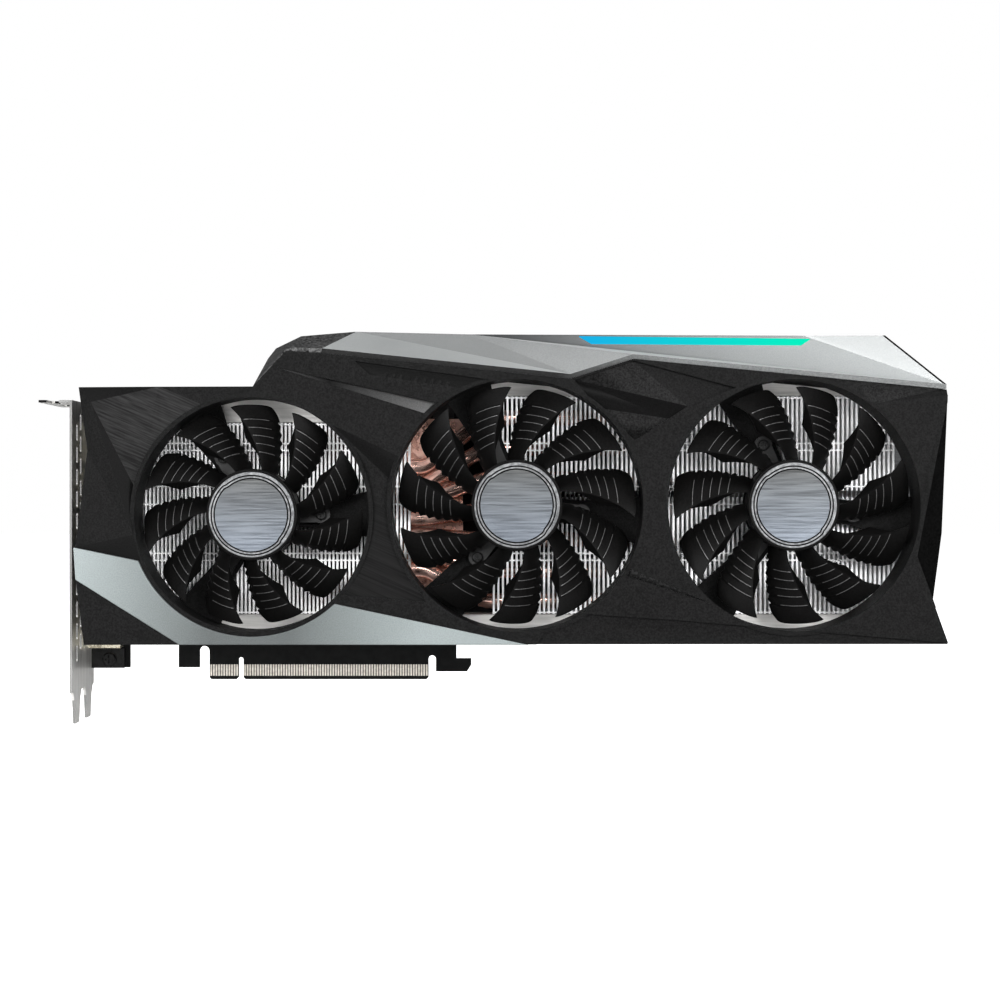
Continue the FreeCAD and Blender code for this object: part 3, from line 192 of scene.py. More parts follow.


# finishes, named for what they are on this card and for the light and shade painted into some of them

finishes = {
    "shroudGrain": {"dark": (0.0042, 0.0042, 0.0042), "light": (0.0115, 0.0115, 0.0115),
                    "rough": (0.50, 0.66), "grain": 1700.0, "bump": 0.3, "depth": 0.00005,
                    "specular": 0.05},
    "facetGrain": {"dark": (0.004, 0.004, 0.004), "light": (0.0165, 0.0165, 0.0165),
                   "rough": (0.48, 0.64), "grain": 1600.0, "bump": 0.4, "depth": 0.00006,
                   "specular": 0.06},
    # a near-black copy of the shroud plastic for facets that face down: painted shade
    "satinPaintedShade": {"dark": (0.0012, 0.0012, 0.0012), "light": (0.0048, 0.0048, 0.0048),
                   "rough": (0.40, 0.52), "grain": 2600.0, "bump": 0.2, "specular": 0.06},
    # a darker copy of the shroud plastic for the right end's side facets: painted shade over a coarser real
    # grain
    "sideGrainPaintedShade": {"dark": (0.0010, 0.0010, 0.0010), "light": (0.0038, 0.0038, 0.0038),
                  "rough": (0.52, 0.66), "grain": 1200.0, "bump": 0.5, "depth": 0.00009,
                  "specular": 0.02},
    # a lighter copy of the shroud plastic for the step facing up and left: painted light over a coarser real
    # grain
    "stepGrainPaintedLight": {"dark": (0.018, 0.018, 0.018), "light": (0.105, 0.105, 0.105), "rough": (0.50, 0.64),
                  "grain": 900.0, "bump": 0.5, "depth": 0.00009, "specular": 0.12},
    # the top cover's front lip: painted shade, with painted light growing towards the right
    "bandGrainPaintedShade": {"dark": (0.008, 0.008, 0.008), "light": (0.016, 0.016, 0.016), "rough": (0.50, 0.64),
                  "grain": 1600.0, "bump": 0.3, "depth": 0.00005, "specular": 0.10,
                  "paintedLight": ("X", 30.0, 90.0, 130.0, (0.090, 0.093, 0.093), (0.120, 0.123, 0.123))},
    # the groove: painted shade, with a painted highlight growing away from X = 38 mm
    "groovePaintedShadeHighlight": {"dark": (0.0016, 0.0016, 0.0016), "light": (0.0048, 0.0048, 0.0048),
                    "rough": (0.3, 0.4), "grain": 2600.0, "bump": 0.1, "specular": 0.15,
                    "paintedLight": ("X", 38.0, 0.0, 38.0, (0.056, 0.056, 0.056), (0.08, 0.08, 0.08))},
    "inlayBrushed": {"dark": (0.0065, 0.0065, 0.0065), "light": (0.0215, 0.0215, 0.0215),
                     "rough": (0.40, 0.52), "grain": 1100.0, "stretch": (0.06, 1, 1.6),
                     "turn": (0, 24, 0), "bump": 0.25, "specular": 0.06},
    "diagonalBrushed": {"dark": (0.0045, 0.0045, 0.0045), "light": (0.0105, 0.0105, 0.0105),
                        "rough": (0.42, 0.56), "grain": 800.0, "stretch": (0.04, 1, 2),
                        "turn": (0, 24, 0), "bump": 0.3, "specular": 0.05},
    # painted shade in the middle near X = 9 mm, with painted light growing towards both ends
    "swooshSilver": {"dark": (0.062, 0.068, 0.068), "light": (0.080, 0.087, 0.087), "rough": (0.42, 0.52),
                     "grain": 2600.0, "metal": 0.3, "bump": 0.08, "specular": 0.3,
                     "paintedLight": ("X", 9.0, 14.0, 62.0, (0.155, 0.172, 0.172), (0.190, 0.212, 0.212))},
    # painted light growing away from X = 60 mm
    "panelSilver": {"dark": (0.215, 0.223, 0.223), "light": (0.270, 0.278, 0.278), "rough": (0.46, 0.56),
                    "grain": 2600.0, "metal": 0.15, "bump": 0.12, "specular": 0.3,
                    "paintedLight": ("X", 60.0, 0.0, 200.0, (0.352, 0.364, 0.364), (0.440, 0.452, 0.452))},
    # a darker copy of the silver for the upper facets and the crease: painted shade near X = 88 mm, with
    # painted light growing away from it
    "panelPaintedShade": {"dark": (0.034, 0.0353, 0.037), "light": (0.050, 0.052, 0.0535), "rough": (0.46, 0.56),
                   "grain": 2600.0, "metal": 0.15, "bump": 0.12, "specular": 0.3,
                   "paintedLight": ("X", 88.0, 0.0, 165.0, (0.300, 0.312, 0.312), (0.370, 0.383, 0.383))},
    # a lighter copy of the silver for the nearly level corner facet: painted light
    "panelCornerPaintedLight": {"dark": (0.33, 0.34, 0.34), "light": (0.40, 0.41, 0.41), "rough": (0.46, 0.56),
                    "grain": 2600.0, "metal": 0.15, "bump": 0.12, "specular": 0.3},
    # a darker copy of the silver for the tilted facets: painted shade
    "panelTiltPaintedShade": {"dark": (0.152, 0.157, 0.157), "light": (0.198, 0.203, 0.203), "rough": (0.46, 0.56),
                  "grain": 2600.0, "metal": 0.15, "bump": 0.12, "specular": 0.3},
    "capGrain": {"dark": (0.0010, 0.0010, 0.0010), "light": (0.088, 0.088, 0.088), "rough": (0.50, 0.66),
                 "grain": 1000.0, "bump": 0.8, "depth": 0.00012, "specular": 0.12},
    "wedgeGloss": {"dark": (0.008, 0.008, 0.008), "light": (0.0192, 0.0192, 0.0192),
                   "rough": (0.22, 0.32), "bump": 0.05, "specular": 0.15},
    "bladeBlack": {"dark": (0.0016, 0.0016, 0.0016), "light": (0.004, 0.0038, 0.0037),
                   "rough": (0.40, 0.52), "grain": 1800.0, "bump": 0.06, "depth": 0.00003,
                   "specular": 0.08},
    # painted glints on the blade ridges' crests; the lower roughness is real
    "ridgePaintedGlint": {"dark": (0.030, 0.030, 0.030), "light": (0.075, 0.075, 0.075), "rough": (0.3, 0.4),
                   "grain": 1800.0, "bump": 0.05, "specular": 0.4},
    "motorBlack": {"dark": (0.004, 0.004, 0.004), "light": (0.0096, 0.0096, 0.0096), "rough": (0.4, 0.6)},
    "ringBlack": {"dark": (0.0016, 0.0016, 0.0016), "light": (0.004, 0.004, 0.004), "rough": (0.4, 0.5),
                  "specular": 0.06},
    # the bluish pair of tones towards the disc's lower edge is a painted reflection
    "badgeBrushed": {"dark": (0.080, 0.082, 0.082), "light": (0.100, 0.103, 0.103), "rough": (0.28, 0.42),
                     "grain": 1100.0, "stretch": (0.05, 1, 1.6), "metal": 0.85, "bump": 0.08,
                     "across": ((0.146, 0.161, 0.184), (0.178, 0.197, 0.222))},
    "badgeRing": {"dark": (0.155, 0.158, 0.163), "light": (0.225, 0.229, 0.233), "rough": (0.28, 0.38),
                  "metal": 0.85, "bump": 0.06},
    "finAluminium": {"dark": (0.93, 0.935, 0.94), "light": (0.99, 0.993, 0.997), "rough": (0.40, 0.55),
                     "grain": 500.0, "stretch": (1, 1, 0.1), "metal": 0.25, "bump": 0.1},
    "railSatin": {"dark": (0.50, 0.495, 0.48), "light": (0.64, 0.63, 0.615), "rough": (0.40, 0.52),
                  "grain": 500.0, "stretch": (0.08, 1, 2), "metal": 0.3, "bump": 0.1},
    "pipeCopper": {"dark": (0.80, 0.50, 0.42), "light": (0.98, 0.74, 0.66), "rough": (0.14, 0.26),
                   "grain": 500.0, "stretch": (0.1, 1, 1), "metal": 0.85, "bump": 0.08},
    "plateCopper": {"dark": (0.70, 0.42, 0.34), "light": (0.90, 0.62, 0.53), "rough": (0.22, 0.38),
                    "grain": 500.0, "metal": 0.8, "bump": 0.1},
    "boardBlack": {"dark": (0.0032, 0.0036, 0.0036), "light": (0.0072, 0.0076, 0.0076),
                   "rough": (0.36, 0.5), "grain": 300.0, "bump": 0.25, "specular": 0.12},
    "bracketEdge": {"dark": (0.17, 0.17, 0.167), "light": (0.22, 0.22, 0.217), "rough": (0.5, 0.6),
                    "grain": 420.0, "stretch": (1, 1, 0.1), "metal": 0.1, "bump": 0.12, "specular": 0.15},
    "contactGold": {"dark": (0.50, 0.47, 0.42), "light": (0.66, 0.62, 0.57), "rough": (0.32, 0.44),
                    "metal": 0.3, "bump": 0.05},
    "bracketNickel": {"dark": (0.48, 0.475, 0.46), "light": (0.66, 0.655, 0.64), "rough": (0.34, 0.48),
                      "grain": 420.0, "stretch": (1, 1, 0.1), "metal": 0.65, "bump": 0.12},
    "shellSteel": {"dark": (0.50, 0.46, 0.36), "light": (0.76, 0.72, 0.60), "rough": (0.2, 0.34),
                   "metal": 0.9, "bump": 0.08},
    "screwBlack": {"dark": (0.0048, 0.0048, 0.0048), "light": (0.016, 0.016, 0.016),
                   "rough": (0.28, 0.42), "metal": 0.3, "bump": 0.1, "specular": 0.4},
    "screwSteel": {"dark": (0.40, 0.40, 0.41), "light": (0.60, 0.60, 0.62), "rough": (0.25, 0.38),
                   "metal": 0.95, "bump": 0.08},
    "socketBlack": {"dark": (0.006, 0.006, 0.006), "light": (0.014, 0.014, 0.014), "rough": (0.42, 0.58)},
    "pinGold": {"dark": (0.66, 0.50, 0.26), "light": (0.84, 0.68, 0.40), "rough": (0.2, 0.3),
                "metal": 1.0},
    "switchWhite": {"dark": (0.62, 0.62, 0.60), "light": (0.74, 0.74, 0.72), "rough": (0.35, 0.5)},
    "chipBlack": {"dark": (0.008, 0.008, 0.008), "light": (0.0176, 0.0176, 0.0176), "rough": (0.45, 0.6)},
    "chokeGrey": {"dark": (0.06, 0.06, 0.06), "light": (0.12, 0.12, 0.12), "rough": (0.5, 0.7)},
    "canSilver": {"dark": (0.50, 0.50, 0.52), "light": (0.66, 0.66, 0.68), "rough": (0.22, 0.34),
                  "metal": 0.95},
    "padGrey": {"dark": (0.34, 0.36, 0.40), "light": (0.46, 0.48, 0.52), "rough": (0.6, 0.8)},
    "packageGreen": {"dark": (0.015, 0.06, 0.035), "light": (0.03, 0.10, 0.06), "rough": (0.35, 0.5)},
    "dieMirror": {"dark": (0.10, 0.10, 0.12), "light": (0.16, 0.16, 0.19), "rough": (0.06, 0.12),
                  "metal": 1.0},
    "backplateDark": {"dark": (0.020, 0.0205, 0.021), "light": (0.060, 0.062, 0.065),
                      "rough": (0.36, 0.5), "grain": 700.0, "stretch": (0.05, 1, 2), "metal": 0.3,
                      "bump": 0.2, "specular": 0.3},
    "magnetDark": {"dark": (0.05, 0.05, 0.05), "light": (0.10, 0.10, 0.10), "rough": (0.5, 0.7),
                   "metal": 0.6},
    "coilCopper": {"dark": (0.42, 0.18, 0.08), "light": (0.66, 0.32, 0.16), "rough": (0.25, 0.4),
                   "metal": 1.0},
    "sleeveBronze": {"dark": (0.36, 0.24, 0.10), "light": (0.52, 0.38, 0.18), "rough": (0.3, 0.45),
                     "metal": 1.0},
    "shaftSteel": {"dark": (0.60, 0.60, 0.62), "light": (0.72, 0.72, 0.74), "rough": (0.1, 0.2),
                   "metal": 1.0},
    "stripWhite": {"dark": (0.6, 0.6, 0.6), "light": (0.75, 0.75, 0.75), "rough": (0.4, 0.5)},
}
mats = {name: makeFinish(name, settings) for name, settings in finishes.items()}

barPlan = {
    "leftGlow": (0.015, 0.50, 0.92), "rightGlow": (0.0, 1.0, 0.60), "power": 0.85,
    "dark": (0.0, 0.02, 0.02), "light": (0.0, 0.03, 0.03), "rough": (0.35, 0.5), "grain": 900.0,
    "specular": 0.05, "bump": 0.05, "depth": 0.00003,
}


def lightMaterial():
    # glows from one colour at the bar's left end to another at its right end
    mat, tree, shader = newMaterial("lightDiffuser")
    low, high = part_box("light_bar")
    coords = objectCoords(tree)
    along = tree.nodes.new("ShaderNodeSeparateXYZ")
    tree.links.new(coords, along.inputs[0])
    share = spread(tree, along.outputs["X"], 0.0, 1.0, low[0], high[0])
    glow = blendColours(tree, share, barPlan["leftGlow"], barPlan["rightGlow"])
    cloudy = noise(tree, coords, barPlan["grain"])
    paint = blendColours(tree, cloudy, barPlan["dark"], barPlan["light"])
    tree.links.new(paint, shader.inputs["Base Color"])
    tree.links.new(glow, shader.inputs["Emission Color"])
    shader.inputs["Emission Strength"].default_value = barPlan["power"]
    shader.inputs["Specular IOR Level"].default_value = barPlan["specular"]
    tree.links.new(spread(tree, cloudy, *barPlan["rough"]), shader.inputs["Roughness"])
    addBump(tree, shader, cloudy, barPlan["bump"], barPlan["depth"])
    return mat


mats["lightDiffuser"] = lightMaterial()
print("finishes made,", len(mats))


# which finish goes on which carried-over node

nodeFinish = {
    "circuit_board": "boardBlack", "edge_contacts": "contactGold", "gpu_package": "packageGreen",
    "gpu_die": "dieMirror", "memory_chips": "chipBlack", "power_chokes": "chokeGrey",
    "power_stages": "chipBlack", "capacitors": "canSilver", "fan_headers": "socketBlack",
    "thermal_pads": "padGrey", "io_bracket": "bracketNickel", "bracket_screws": "screwBlack",
    "displayport_sockets": "shellSteel", "hdmi_sockets": "shellSteel", "socket_tongues": "socketBlack",
    "power_sockets": "socketBlack", "power_pins": "pinGold", "bios_switch_body": "socketBlack",
    "bios_switch_lever": "switchWhite", "cold_plate": "plateCopper", "heat_pipes": "pipeCopper",
    "fin_stack_left": "finAluminium", "fin_stack_middle": "finAluminium", "fin_stack_right": "finAluminium",
    "cooler_rails": "railSatin", "backplate": "backplateDark", "backplate_screws": "screwBlack",
    "cooler_screws": "screwSteel", "cooler_springs": "screwSteel", "front_shroud": "shroudGrain",
    "silver_swoosh": "swooshSilver", "gloss_wedges": "wedgeGloss", "top_panel": "panelSilver",
    "top_end_cap": "capGrain", "light_bar": "lightDiffuser", "light_board": "stripWhite",
    "fan_screws": "screwBlack",
}
fanSides = ("left", "middle", "right")
for side in fanSides:
    nodeFinish.update({
        f"fan_{side}_rotor": "bladeBlack", f"fan_{side}_badge": "badgeBrushed",
        f"fan_{side}_shaft": "shaftSteel", f"fan_{side}_magnet": "magnetDark",
        f"fan_{side}_base": "motorBlack", f"fan_{side}_bearing": "sleeveBronze",
        f"fan_{side}_stator": "coilCopper",
    })
for nodeName, finishName in nodeFinish.items():
    for materialSlot in nodes[nodeName].material_slots:
        materialSlot.link = "OBJECT"
        materialSlot.material = mats[finishName]
print("nodes finished,", len(nodeFinish))


# pieces made around the frame

def makePiece(name, bm, finishNames, body, replaced, smooth=30.0):
    mesh = bpy.data.meshes.new(name)
    bm.to_mesh(mesh)
    bm.free()
    for finishName in finishNames:
        mesh.materials.append(mats[finishName])
    mesh.shade_smooth()
    mesh.set_sharp_from_angle(angle=math.radians(smooth))
    piece = bpy.data.objects.new(name, mesh)
    scene.collection.objects.link(piece)
    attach(piece, body)
    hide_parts(*replaced)
    return piece


copyPlan = {"merge": 2e-6, "flat": 0.6}  # metres, and degrees within which faces become one


def copyOfNode(nodeName):
    bm = bmesh.new()
    bm.from_mesh(nodes[nodeName].data)
    bmesh.ops.remove_doubles(bm, verts=bm.verts, dist=copyPlan["merge"])
    bmesh.ops.dissolve_limit(bm, angle_limit=math.radians(copyPlan["flat"]), verts=bm.verts, edges=bm.edges)
    return bm


def insideOutline(point, outline):
    x, z = point
    inside = False
    for (x0, z0), (x1, z1) in zip(outline, outline[1:] + outline[:1]):
        if (z0 > z) != (z1 > z) and x < (x1 - x0) * (z - z0) / (z1 - z0) + x0:
            inside = not inside
    return inside


def softEdges(piece, width, angle=14.0):
    bevel = piece.modifiers.new("softEdges", "BEVEL")
    bevel.width = width
    bevel.segments = 2
    bevel.limit_method = "ANGLE"
    bevel.angle_limit = math.radians(angle)
    bevel.harden_normals = True
    bevel.use_clamp_overlap = True


# fans

fanCentre = {}
for side in fanSides:
    low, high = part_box(f"fan_{side}_badge")
    fanCentre[side] = ((low[0] + high[0]) / 2, (low[2] + high[2]) / 2)

fanPlan = {
    "blades": 11, "rows": 46, "columns": 18, "foldColumns": 3, "wall": 1.0 * mm, "root": 16.0 * mm,
    "tipGap": 0.05 * mm, "frontIn": 0.8 * mm, "rearIn": 1.5 * mm, "camber": 0.9 * mm,
    # degrees: the sweep from root to tip, half a blade's width, and what the root loses and leans
    "sweep": 22.0, "half": 11.3, "rootNarrower": 1.4, "rootLean": 1.0,
    # rounded tip corners: how much comes off, and how tightly
    "trailingCut": 1.8 * mm, "leadingCut": 0.4 * mm, "cornerPower": 7, "tipPower": 8,
    # shares of a blade's depth: the trailing edge's place, the leading edge's at the root, its bow and tip
    "trailIn": 0.04, "leadIn": 0.14, "leadBow": 0.36, "leadTip": 0.02,
    # ridges: where each fades in and out, and which part of it gets a painted glint
    "ridgeHigh": 0.28 * mm, "ridgeWide": 0.36 * mm, "fadeIn": 0.15, "fadeEnd": 0.97, "fadeOut": 0.1,
    "ridgeFrom": 0.28, "ridgeTo": 0.92,
    # scallops of the trailing edge: a long rise, then a short fall
    "tooth": 1.0 * mm, "toothReach": 0.2, "toothPast": 0.2, "toothRise": 0.72, "toothFall": 0.28,
    "toothIn": 0.9,
    # the leaf folded back from the leading edge
    "foldOut": 3.0 * mm, "foldBack": 4.2 * mm, "foldMiddle": 0.50, "foldHalf": 0.30,
    "left": {"first": 32.5, "turn": 1, "ridges": (22.9, 25.9, 28.8, 31.7, 34.7)},
    "middle": {"first": 18.8, "turn": -1, "ridges": (24.3, 27.4, 30.5, 33.3, 36.6)},
    "right": {"first": 12.7, "turn": 1, "ridges": (24.3, 27.4, 30.5, 33.3, 36.6)},
}


def bladeSpan(side):
    low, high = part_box(f"fan_{side}_rotor")
    return {"root": fanPlan["root"], "tip": (high[0] - low[0]) / 2 - fanPlan["tipGap"],
            "front": low[1] + fanPlan["frontIn"], "rear": high[1] - fanPlan["rearIn"],
            "ridges": [r * mm for r in fanPlan[side]["ridges"]]}


def bladeRadii(span):
    # even steps, with a tight set of rows over each ridge so that it stays crisp
    root, tip, ridges, wide = span["root"], span["tip"], span["ridges"], fanPlan["ridgeWide"]
    rows = [root + (tip - root) * i / fanPlan["rows"] for i in range(fanPlan["rows"] + 1)]
    rows = [r for r in rows if all(abs(r - ridge) > wide * 1.5 for ridge in ridges)]
    for ridge in ridges:
        rows += [ridge + wide * k for k in (-1.0, -0.4, 0.4, 1.0)]
    return sorted(rows)


def toothTurn(r, u, ridges):
    # degrees by which a scallop moves a point, from one ridge to the next
    gap = (ridges[-1] - ridges[0]) / (len(ridges) - 1)
    toothed = max(0.0, 1 - u / fanPlan["toothReach"])
    if not ridges[0] - gap < r < ridges[-1] + fanPlan["toothPast"] * gap:
        return 0.0
    share = ((r - ridges[0]) / gap) % 1.0
    share = min(share / fanPlan["toothRise"], (1 - share) / fanPlan["toothFall"])
    return math.degrees(fanPlan["tooth"] / r) * (share - fanPlan["toothIn"]) * toothed


def bladePoint(side, index, span, r, column):
    # a point of the front skin: t runs from root to tip, u from the trailing to the leading edge
    plan, turn = fanPlan, fanPlan[side]["turn"]
    depth = span["rear"] - span["front"]
    t = (r - span["root"]) / (span["tip"] - span["root"])
    u = min(column / plan["columns"], 1.0)
    over = max(column - plan["columns"], 0) / plan["foldColumns"]
    cornerCut = plan["trailingCut"] if u < 0.5 else plan["leadingCut"]
    reach = r - abs(2 * u - 1) ** plan["cornerPower"] * t ** plan["tipPower"] * cornerCut
    half = plan["half"] - plan["rootNarrower"] * (1 - t)
    angle = plan[side]["first"] + 360.0 / plan["blades"] * index + turn * plan["sweep"] * (1 - t)
    angle += turn * (half * (1 - 2 * u) - plan["rootLean"] * (1 - t) * (1 - u))
    angle += turn * toothTurn(r, u, span["ridges"])
    trail = depth * plan["trailIn"]
    lead = plan["leadIn"] - plan["leadBow"] * t * (1 - t) - plan["leadTip"] * t
    y = span["rear"] - trail + (span["front"] + depth * lead - span["rear"] + trail) * u
    y -= plan["camber"] * 4 * u * (1 - u)
    if any(abs(r - ridge) < plan["ridgeWide"] * 0.5 for ridge in span["ridges"]):
        fadeOut = max(0.0, (plan["fadeEnd"] - u) / plan["fadeOut"])
        y -= plan["ridgeHigh"] * min(1.0, u / plan["fadeIn"]) * min(1.0, fadeOut)
    bulge = max(0.0, 1 - abs(t - plan["foldMiddle"]) / plan["foldHalf"])
    angle -= turn * math.degrees(plan["foldOut"] * bulge * over / r)
    y += plan["foldBack"] * bulge * over
    a = math.radians(angle)
    return Vector((reach * math.sin(a), y, reach * math.cos(a)))


def getsPaintedGlint(middle, radii, ridges, columns):
    # the crest of a ridge, along the main part of its run, which gets a painted glint
    r = radii[int((middle.y + 1) / 2 * (len(radii) - 1))]
    share = (middle.x + 1) / 2 * columns / fanPlan["columns"]
    onRidge = any(0 < ridge - r < fanPlan["ridgeWide"] * 0.5 for ridge in ridges)
    return onRidge and fanPlan["ridgeFrom"] < share < fanPlan["ridgeTo"]


def oneBlade(bm, side, index):
    # a grid becomes the front skin, and is then given its wall
    span = bladeSpan(side)
    radii = bladeRadii(span)
    columns = fanPlan["columns"] + fanPlan["foldColumns"]
    made = bmesh.ops.create_grid(bm, x_segments=columns, y_segments=len(radii) - 1, size=1.0)
    skin = list(dict.fromkeys(f for v in made["verts"] for f in v.link_faces))
    paintedGlints = [f for f in skin if getsPaintedGlint(f.calc_center_median(), radii, span["ridges"], columns)]
    for v in made["verts"]:
        column = round((v.co.x + 1) / 2 * columns)
        r = radii[round((v.co.y + 1) / 2 * (len(radii) - 1))]
        v.co = bladePoint(side, index, span, r, column)
    back = bmesh.ops.extrude_face_region(bm, geom=skin, use_keep_orig=True)["geom"]
    backVerts = [g for g in back if isinstance(g, bmesh.types.BMVert)]
    bmesh.ops.translate(bm, verts=backVerts, vec=(0, fanPlan["wall"], 0))
    for f in paintedGlints:
        f.material_index = 1


hubPlan = {
    "steps": 96, "wall": 1.2 * mm, "edge": 0.2 * mm, "smooth": 38.0,
    # radius and depth behind the rotor's front: the plate's back, the cap's seat, the rim and the side
    "front": [(0.0, 2.2), (0.0, 0.6), (15.65, 0.6), (15.65, 0.1), (15.9, 0.0), (16.3, 0.1),
              (16.55, 0.4), (16.6, 0.9)],
}


def buildRotor(side):
    cx, cz = fanCentre[side]
    low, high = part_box(f"fan_{side}_rotor")
    shell = bmesh.new()
    for index in range(fanPlan["blades"]):
        oneBlade(shell, side, index)
    bmesh.ops.recalc_face_normals(shell, faces=shell.faces)
    profile = [(r * mm, low[1] + y * mm) for r, y in hubPlan["front"]]
    plateBack, outer = profile[0][1], profile[-1][0]
    inner, edge, back = outer - hubPlan["wall"], hubPlan["edge"], high[1]
    profile += [(outer, back - edge), (outer - edge, back), (inner, back), (inner, plateBack)]
    hub = spunProfile(profile, hubPlan["steps"])
    mesh = bpy.data.meshes.new("hubScratch")
    hub.to_mesh(mesh)
    hub.free()
    shell.from_mesh(mesh)
    bpy.data.meshes.remove(mesh)
    bmesh.ops.translate(shell, verts=shell.verts, vec=(cx, 0, cz))
    makePiece(f"fan_{side}_blades", shell, ["bladeBlack", "ridgePaintedGlint"], f"fan_{side}",
              [f"fan_{side}_rotor"], smooth=hubPlan["smooth"])


def spunProfile(profile, steps):
    # turns a closed run of (radius, y) points about the Y axis
    bm = bmesh.new()
    ring = [bm.verts.new((r, y, 0)) for r, y in profile]
    edges = [bm.edges.new((a, b)) for a, b in zip(ring, ring[1:] + ring[:1])
             if not (a.co.x == 0 and b.co.x == 0)]
    bmesh.ops.spin(bm, geom=ring + edges, cent=(0, 0, 0), axis=(0, 1, 0), angle=math.tau, steps=steps,
                   use_merge=True)
    bmesh.ops.remove_doubles(bm, verts=bm.verts, dist=1e-6)
    bmesh.ops.recalc_face_normals(bm, faces=bm.faces)
    return bm


badgePlan = {
    "rim": 15.55, "steps": 180, "innerRings": (9.0, 4.5),
    # radius in millimetres, height over the cap's face, and whether a dark groove touches that edge
    "edges": [(15.55, -0.25, False), (15.40, 0.0, False), (14.80, 0.0, False), (14.75, -0.2, True),
              (14.35, -0.2, True), (14.30, 0.0, False), (13.75, 0.0, False), (13.70, -0.2, True),
              (13.30, -0.2, True), (13.25, 0.0, False)],
    # half of the two grooves sits further in: its degrees, how far in, the jog's degrees and the radii moved
    "jogFrom": 315.0, "jogTo": 135.0, "jogIn": 0.42, "jogLong": 4, "jogInner": 13.0, "jogOuter": 14.9,
    "finishes": ["badgeBrushed", "badgeRing", "ringBlack"],
}


def badgeFinish(r):
    # the brushed disc, the bright rings and the dark grooves between them, by radius in millimetres
    edges = badgePlan["edges"]
    if r < edges[-1][0]:
        return 0
    for outer, inner in zip(edges, edges[1:]):
        if inner[0] < r <= outer[0]:
            return 2 if inner[2] or outer[2] else 1
    return 1


def jogRings(bm):
    span = (badgePlan["jogTo"] - badgePlan["jogFrom"]) % 360
    for v in bm.verts:
        r = math.hypot(v.co.x, v.co.z)
        if not badgePlan["jogInner"] * mm < r < badgePlan["jogOuter"] * mm:
            continue
        along = (math.degrees(math.atan2(v.co.x, v.co.z)) - badgePlan["jogFrom"]) % 360
        inner = max(0.0, min(1.0, along / badgePlan["jogLong"], (span - along) / badgePlan["jogLong"]))
        factor = (r - badgePlan["jogIn"] * mm * inner) / r
        v.co.x *= factor
        v.co.z *= factor


def mapFlat(bm, reach):
    # the piece's own map, flat over X and Z
    flat = bm.loops.layers.uv.new("face")
    for f in bm.faces:
        for loop in f.loops:
            loop[flat].uv = [0.5 + c / (2 * reach) for c in (loop.vert.co.x, loop.vert.co.z)]


def buildBadge(side):
    cx, cz = fanCentre[side]
    low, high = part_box(f"fan_{side}_badge")
    face = low[1]
    profile = [(0.0, high[1]), (badgePlan["rim"] * mm, high[1])]
    profile += [(r * mm, face - height * mm) for r, height, _ in badgePlan["edges"]]
    profile += [(r * mm, face) for r in (*badgePlan["innerRings"], 0.0)]
    bm = spunProfile(profile, badgePlan["steps"])
    for f in bm.faces:
        c = f.calc_center_median()
        f.material_index = badgeFinish(math.hypot(c.x, c.z) / mm)
    jogRings(bm)
    mapFlat(bm, badgePlan["rim"] * mm)
    bmesh.ops.translate(bm, verts=bm.verts, vec=(cx, 0, cz))
    makePiece(f"fan_{side}_cap", bm, badgePlan["finishes"], f"fan_{side}",
              [f"fan_{side}_badge"])


for side in fanSides:
    buildRotor(side)
    buildBadge(side)
print("fans made")


# shroud and its trims

# a point inside each facet that isn't plain shroud grain, and its finish, some of which carry painted shade
# and a painted highlight
facetPicks = [
    ("inlayBrushed", [(-31.6, 91.2), (-20.5, 97.2), (-30.0, 95.0), (-20.0, 100.0)]),
    ("satinPaintedShade", [(-35.2, 70.7), (-38.0, 79.0), (-41.5, 108.0), (151.6, 104.6), (137.5, 104.8),
                    (58.1, 84.5), (-38.3, 50.5), (70.5, 112.7), (67.0, 113.0)]),
    ("diagonalBrushed", [(56.4, 51.6), (50.5, 61.0), (56.0, 62.0)]),
    ("facetGrain", [(147.3, 111.6), (228.4, 109.1), (145.7, 97.0)]),
    ("sideGrainPaintedShade", [(258.1, 66.6), (256.0, 45.4)]),
    ("groovePaintedShadeHighlight", [(65.1, 104.7)]),
]


shroudPlan = {
    "stepX": -0.6, "stepZ": 0.5, "stepAbove": 105.0,  # how the step with painted light faces, and where it starts
    "facing": -0.3, "depth": -43.0,  # how the front facets face, and where they lie
    "smooth": 20.0, "edge": 0.22 * mm,
}


def buildShroud():
    bm = copyOfNode("front_shroud")
    names = ["shroudGrain", "stepGrainPaintedLight"] + [name for name, _ in facetPicks]
    for f in bm.faces:
        c = f.calc_center_median() / mm
        # the step facing up and left gets painted light
        onStep = f.normal.x < shroudPlan["stepX"] and f.normal.z > shroudPlan["stepZ"]
        if onStep and c.z > shroudPlan["stepAbove"]:
            f.material_index = names.index("stepGrainPaintedLight")
        if f.normal.y > shroudPlan["facing"] or c.y > shroudPlan["depth"]:
            continue
        outline = [(v.co.x / mm, v.co.z / mm) for v in f.verts]
        for name, points in facetPicks:
            if any(insideOutline(point, outline) for point in points):
                f.material_index = names.index(name)
    piece = makePiece("shroud", bm, names, "card", ["front_shroud"],
                      smooth=shroudPlan["smooth"])
    softEdges(piece, shroudPlan["edge"])


def buildSwoosh():
    bm = copyOfNode("silver_swoosh")
    piece = makePiece("swoosh", bm, ["swooshSilver"], "card", ["silver_swoosh"])
    softEdges(piece, 0.3 * mm)


coverPlan = {
    "finishes": ["panelSilver", "bandGrainPaintedShade", "panelPaintedShade", "panelTiltPaintedShade", "panelCornerPaintedLight", "ringBlack"],
    "edge": 0.3 * mm, "lipDepth": -44.0,
    # the crease across the rear facet, that facet's direction, and the painted shade line at the corner's
    # edge
    "from": (219.4, -20.0, 128.7), "to": (259.7, -47.0, 111.9), "wide": 0.5, "deep": 0.25, "slope": 0.12,
    "facet": (0, -0.545, 0.838), "same": 0.999, "rim": 0.9, "rimSame": 0.9999, "rimFacing": 0.6,
}
coverFinish = {name: i for i, name in enumerate(coverPlan["finishes"])}


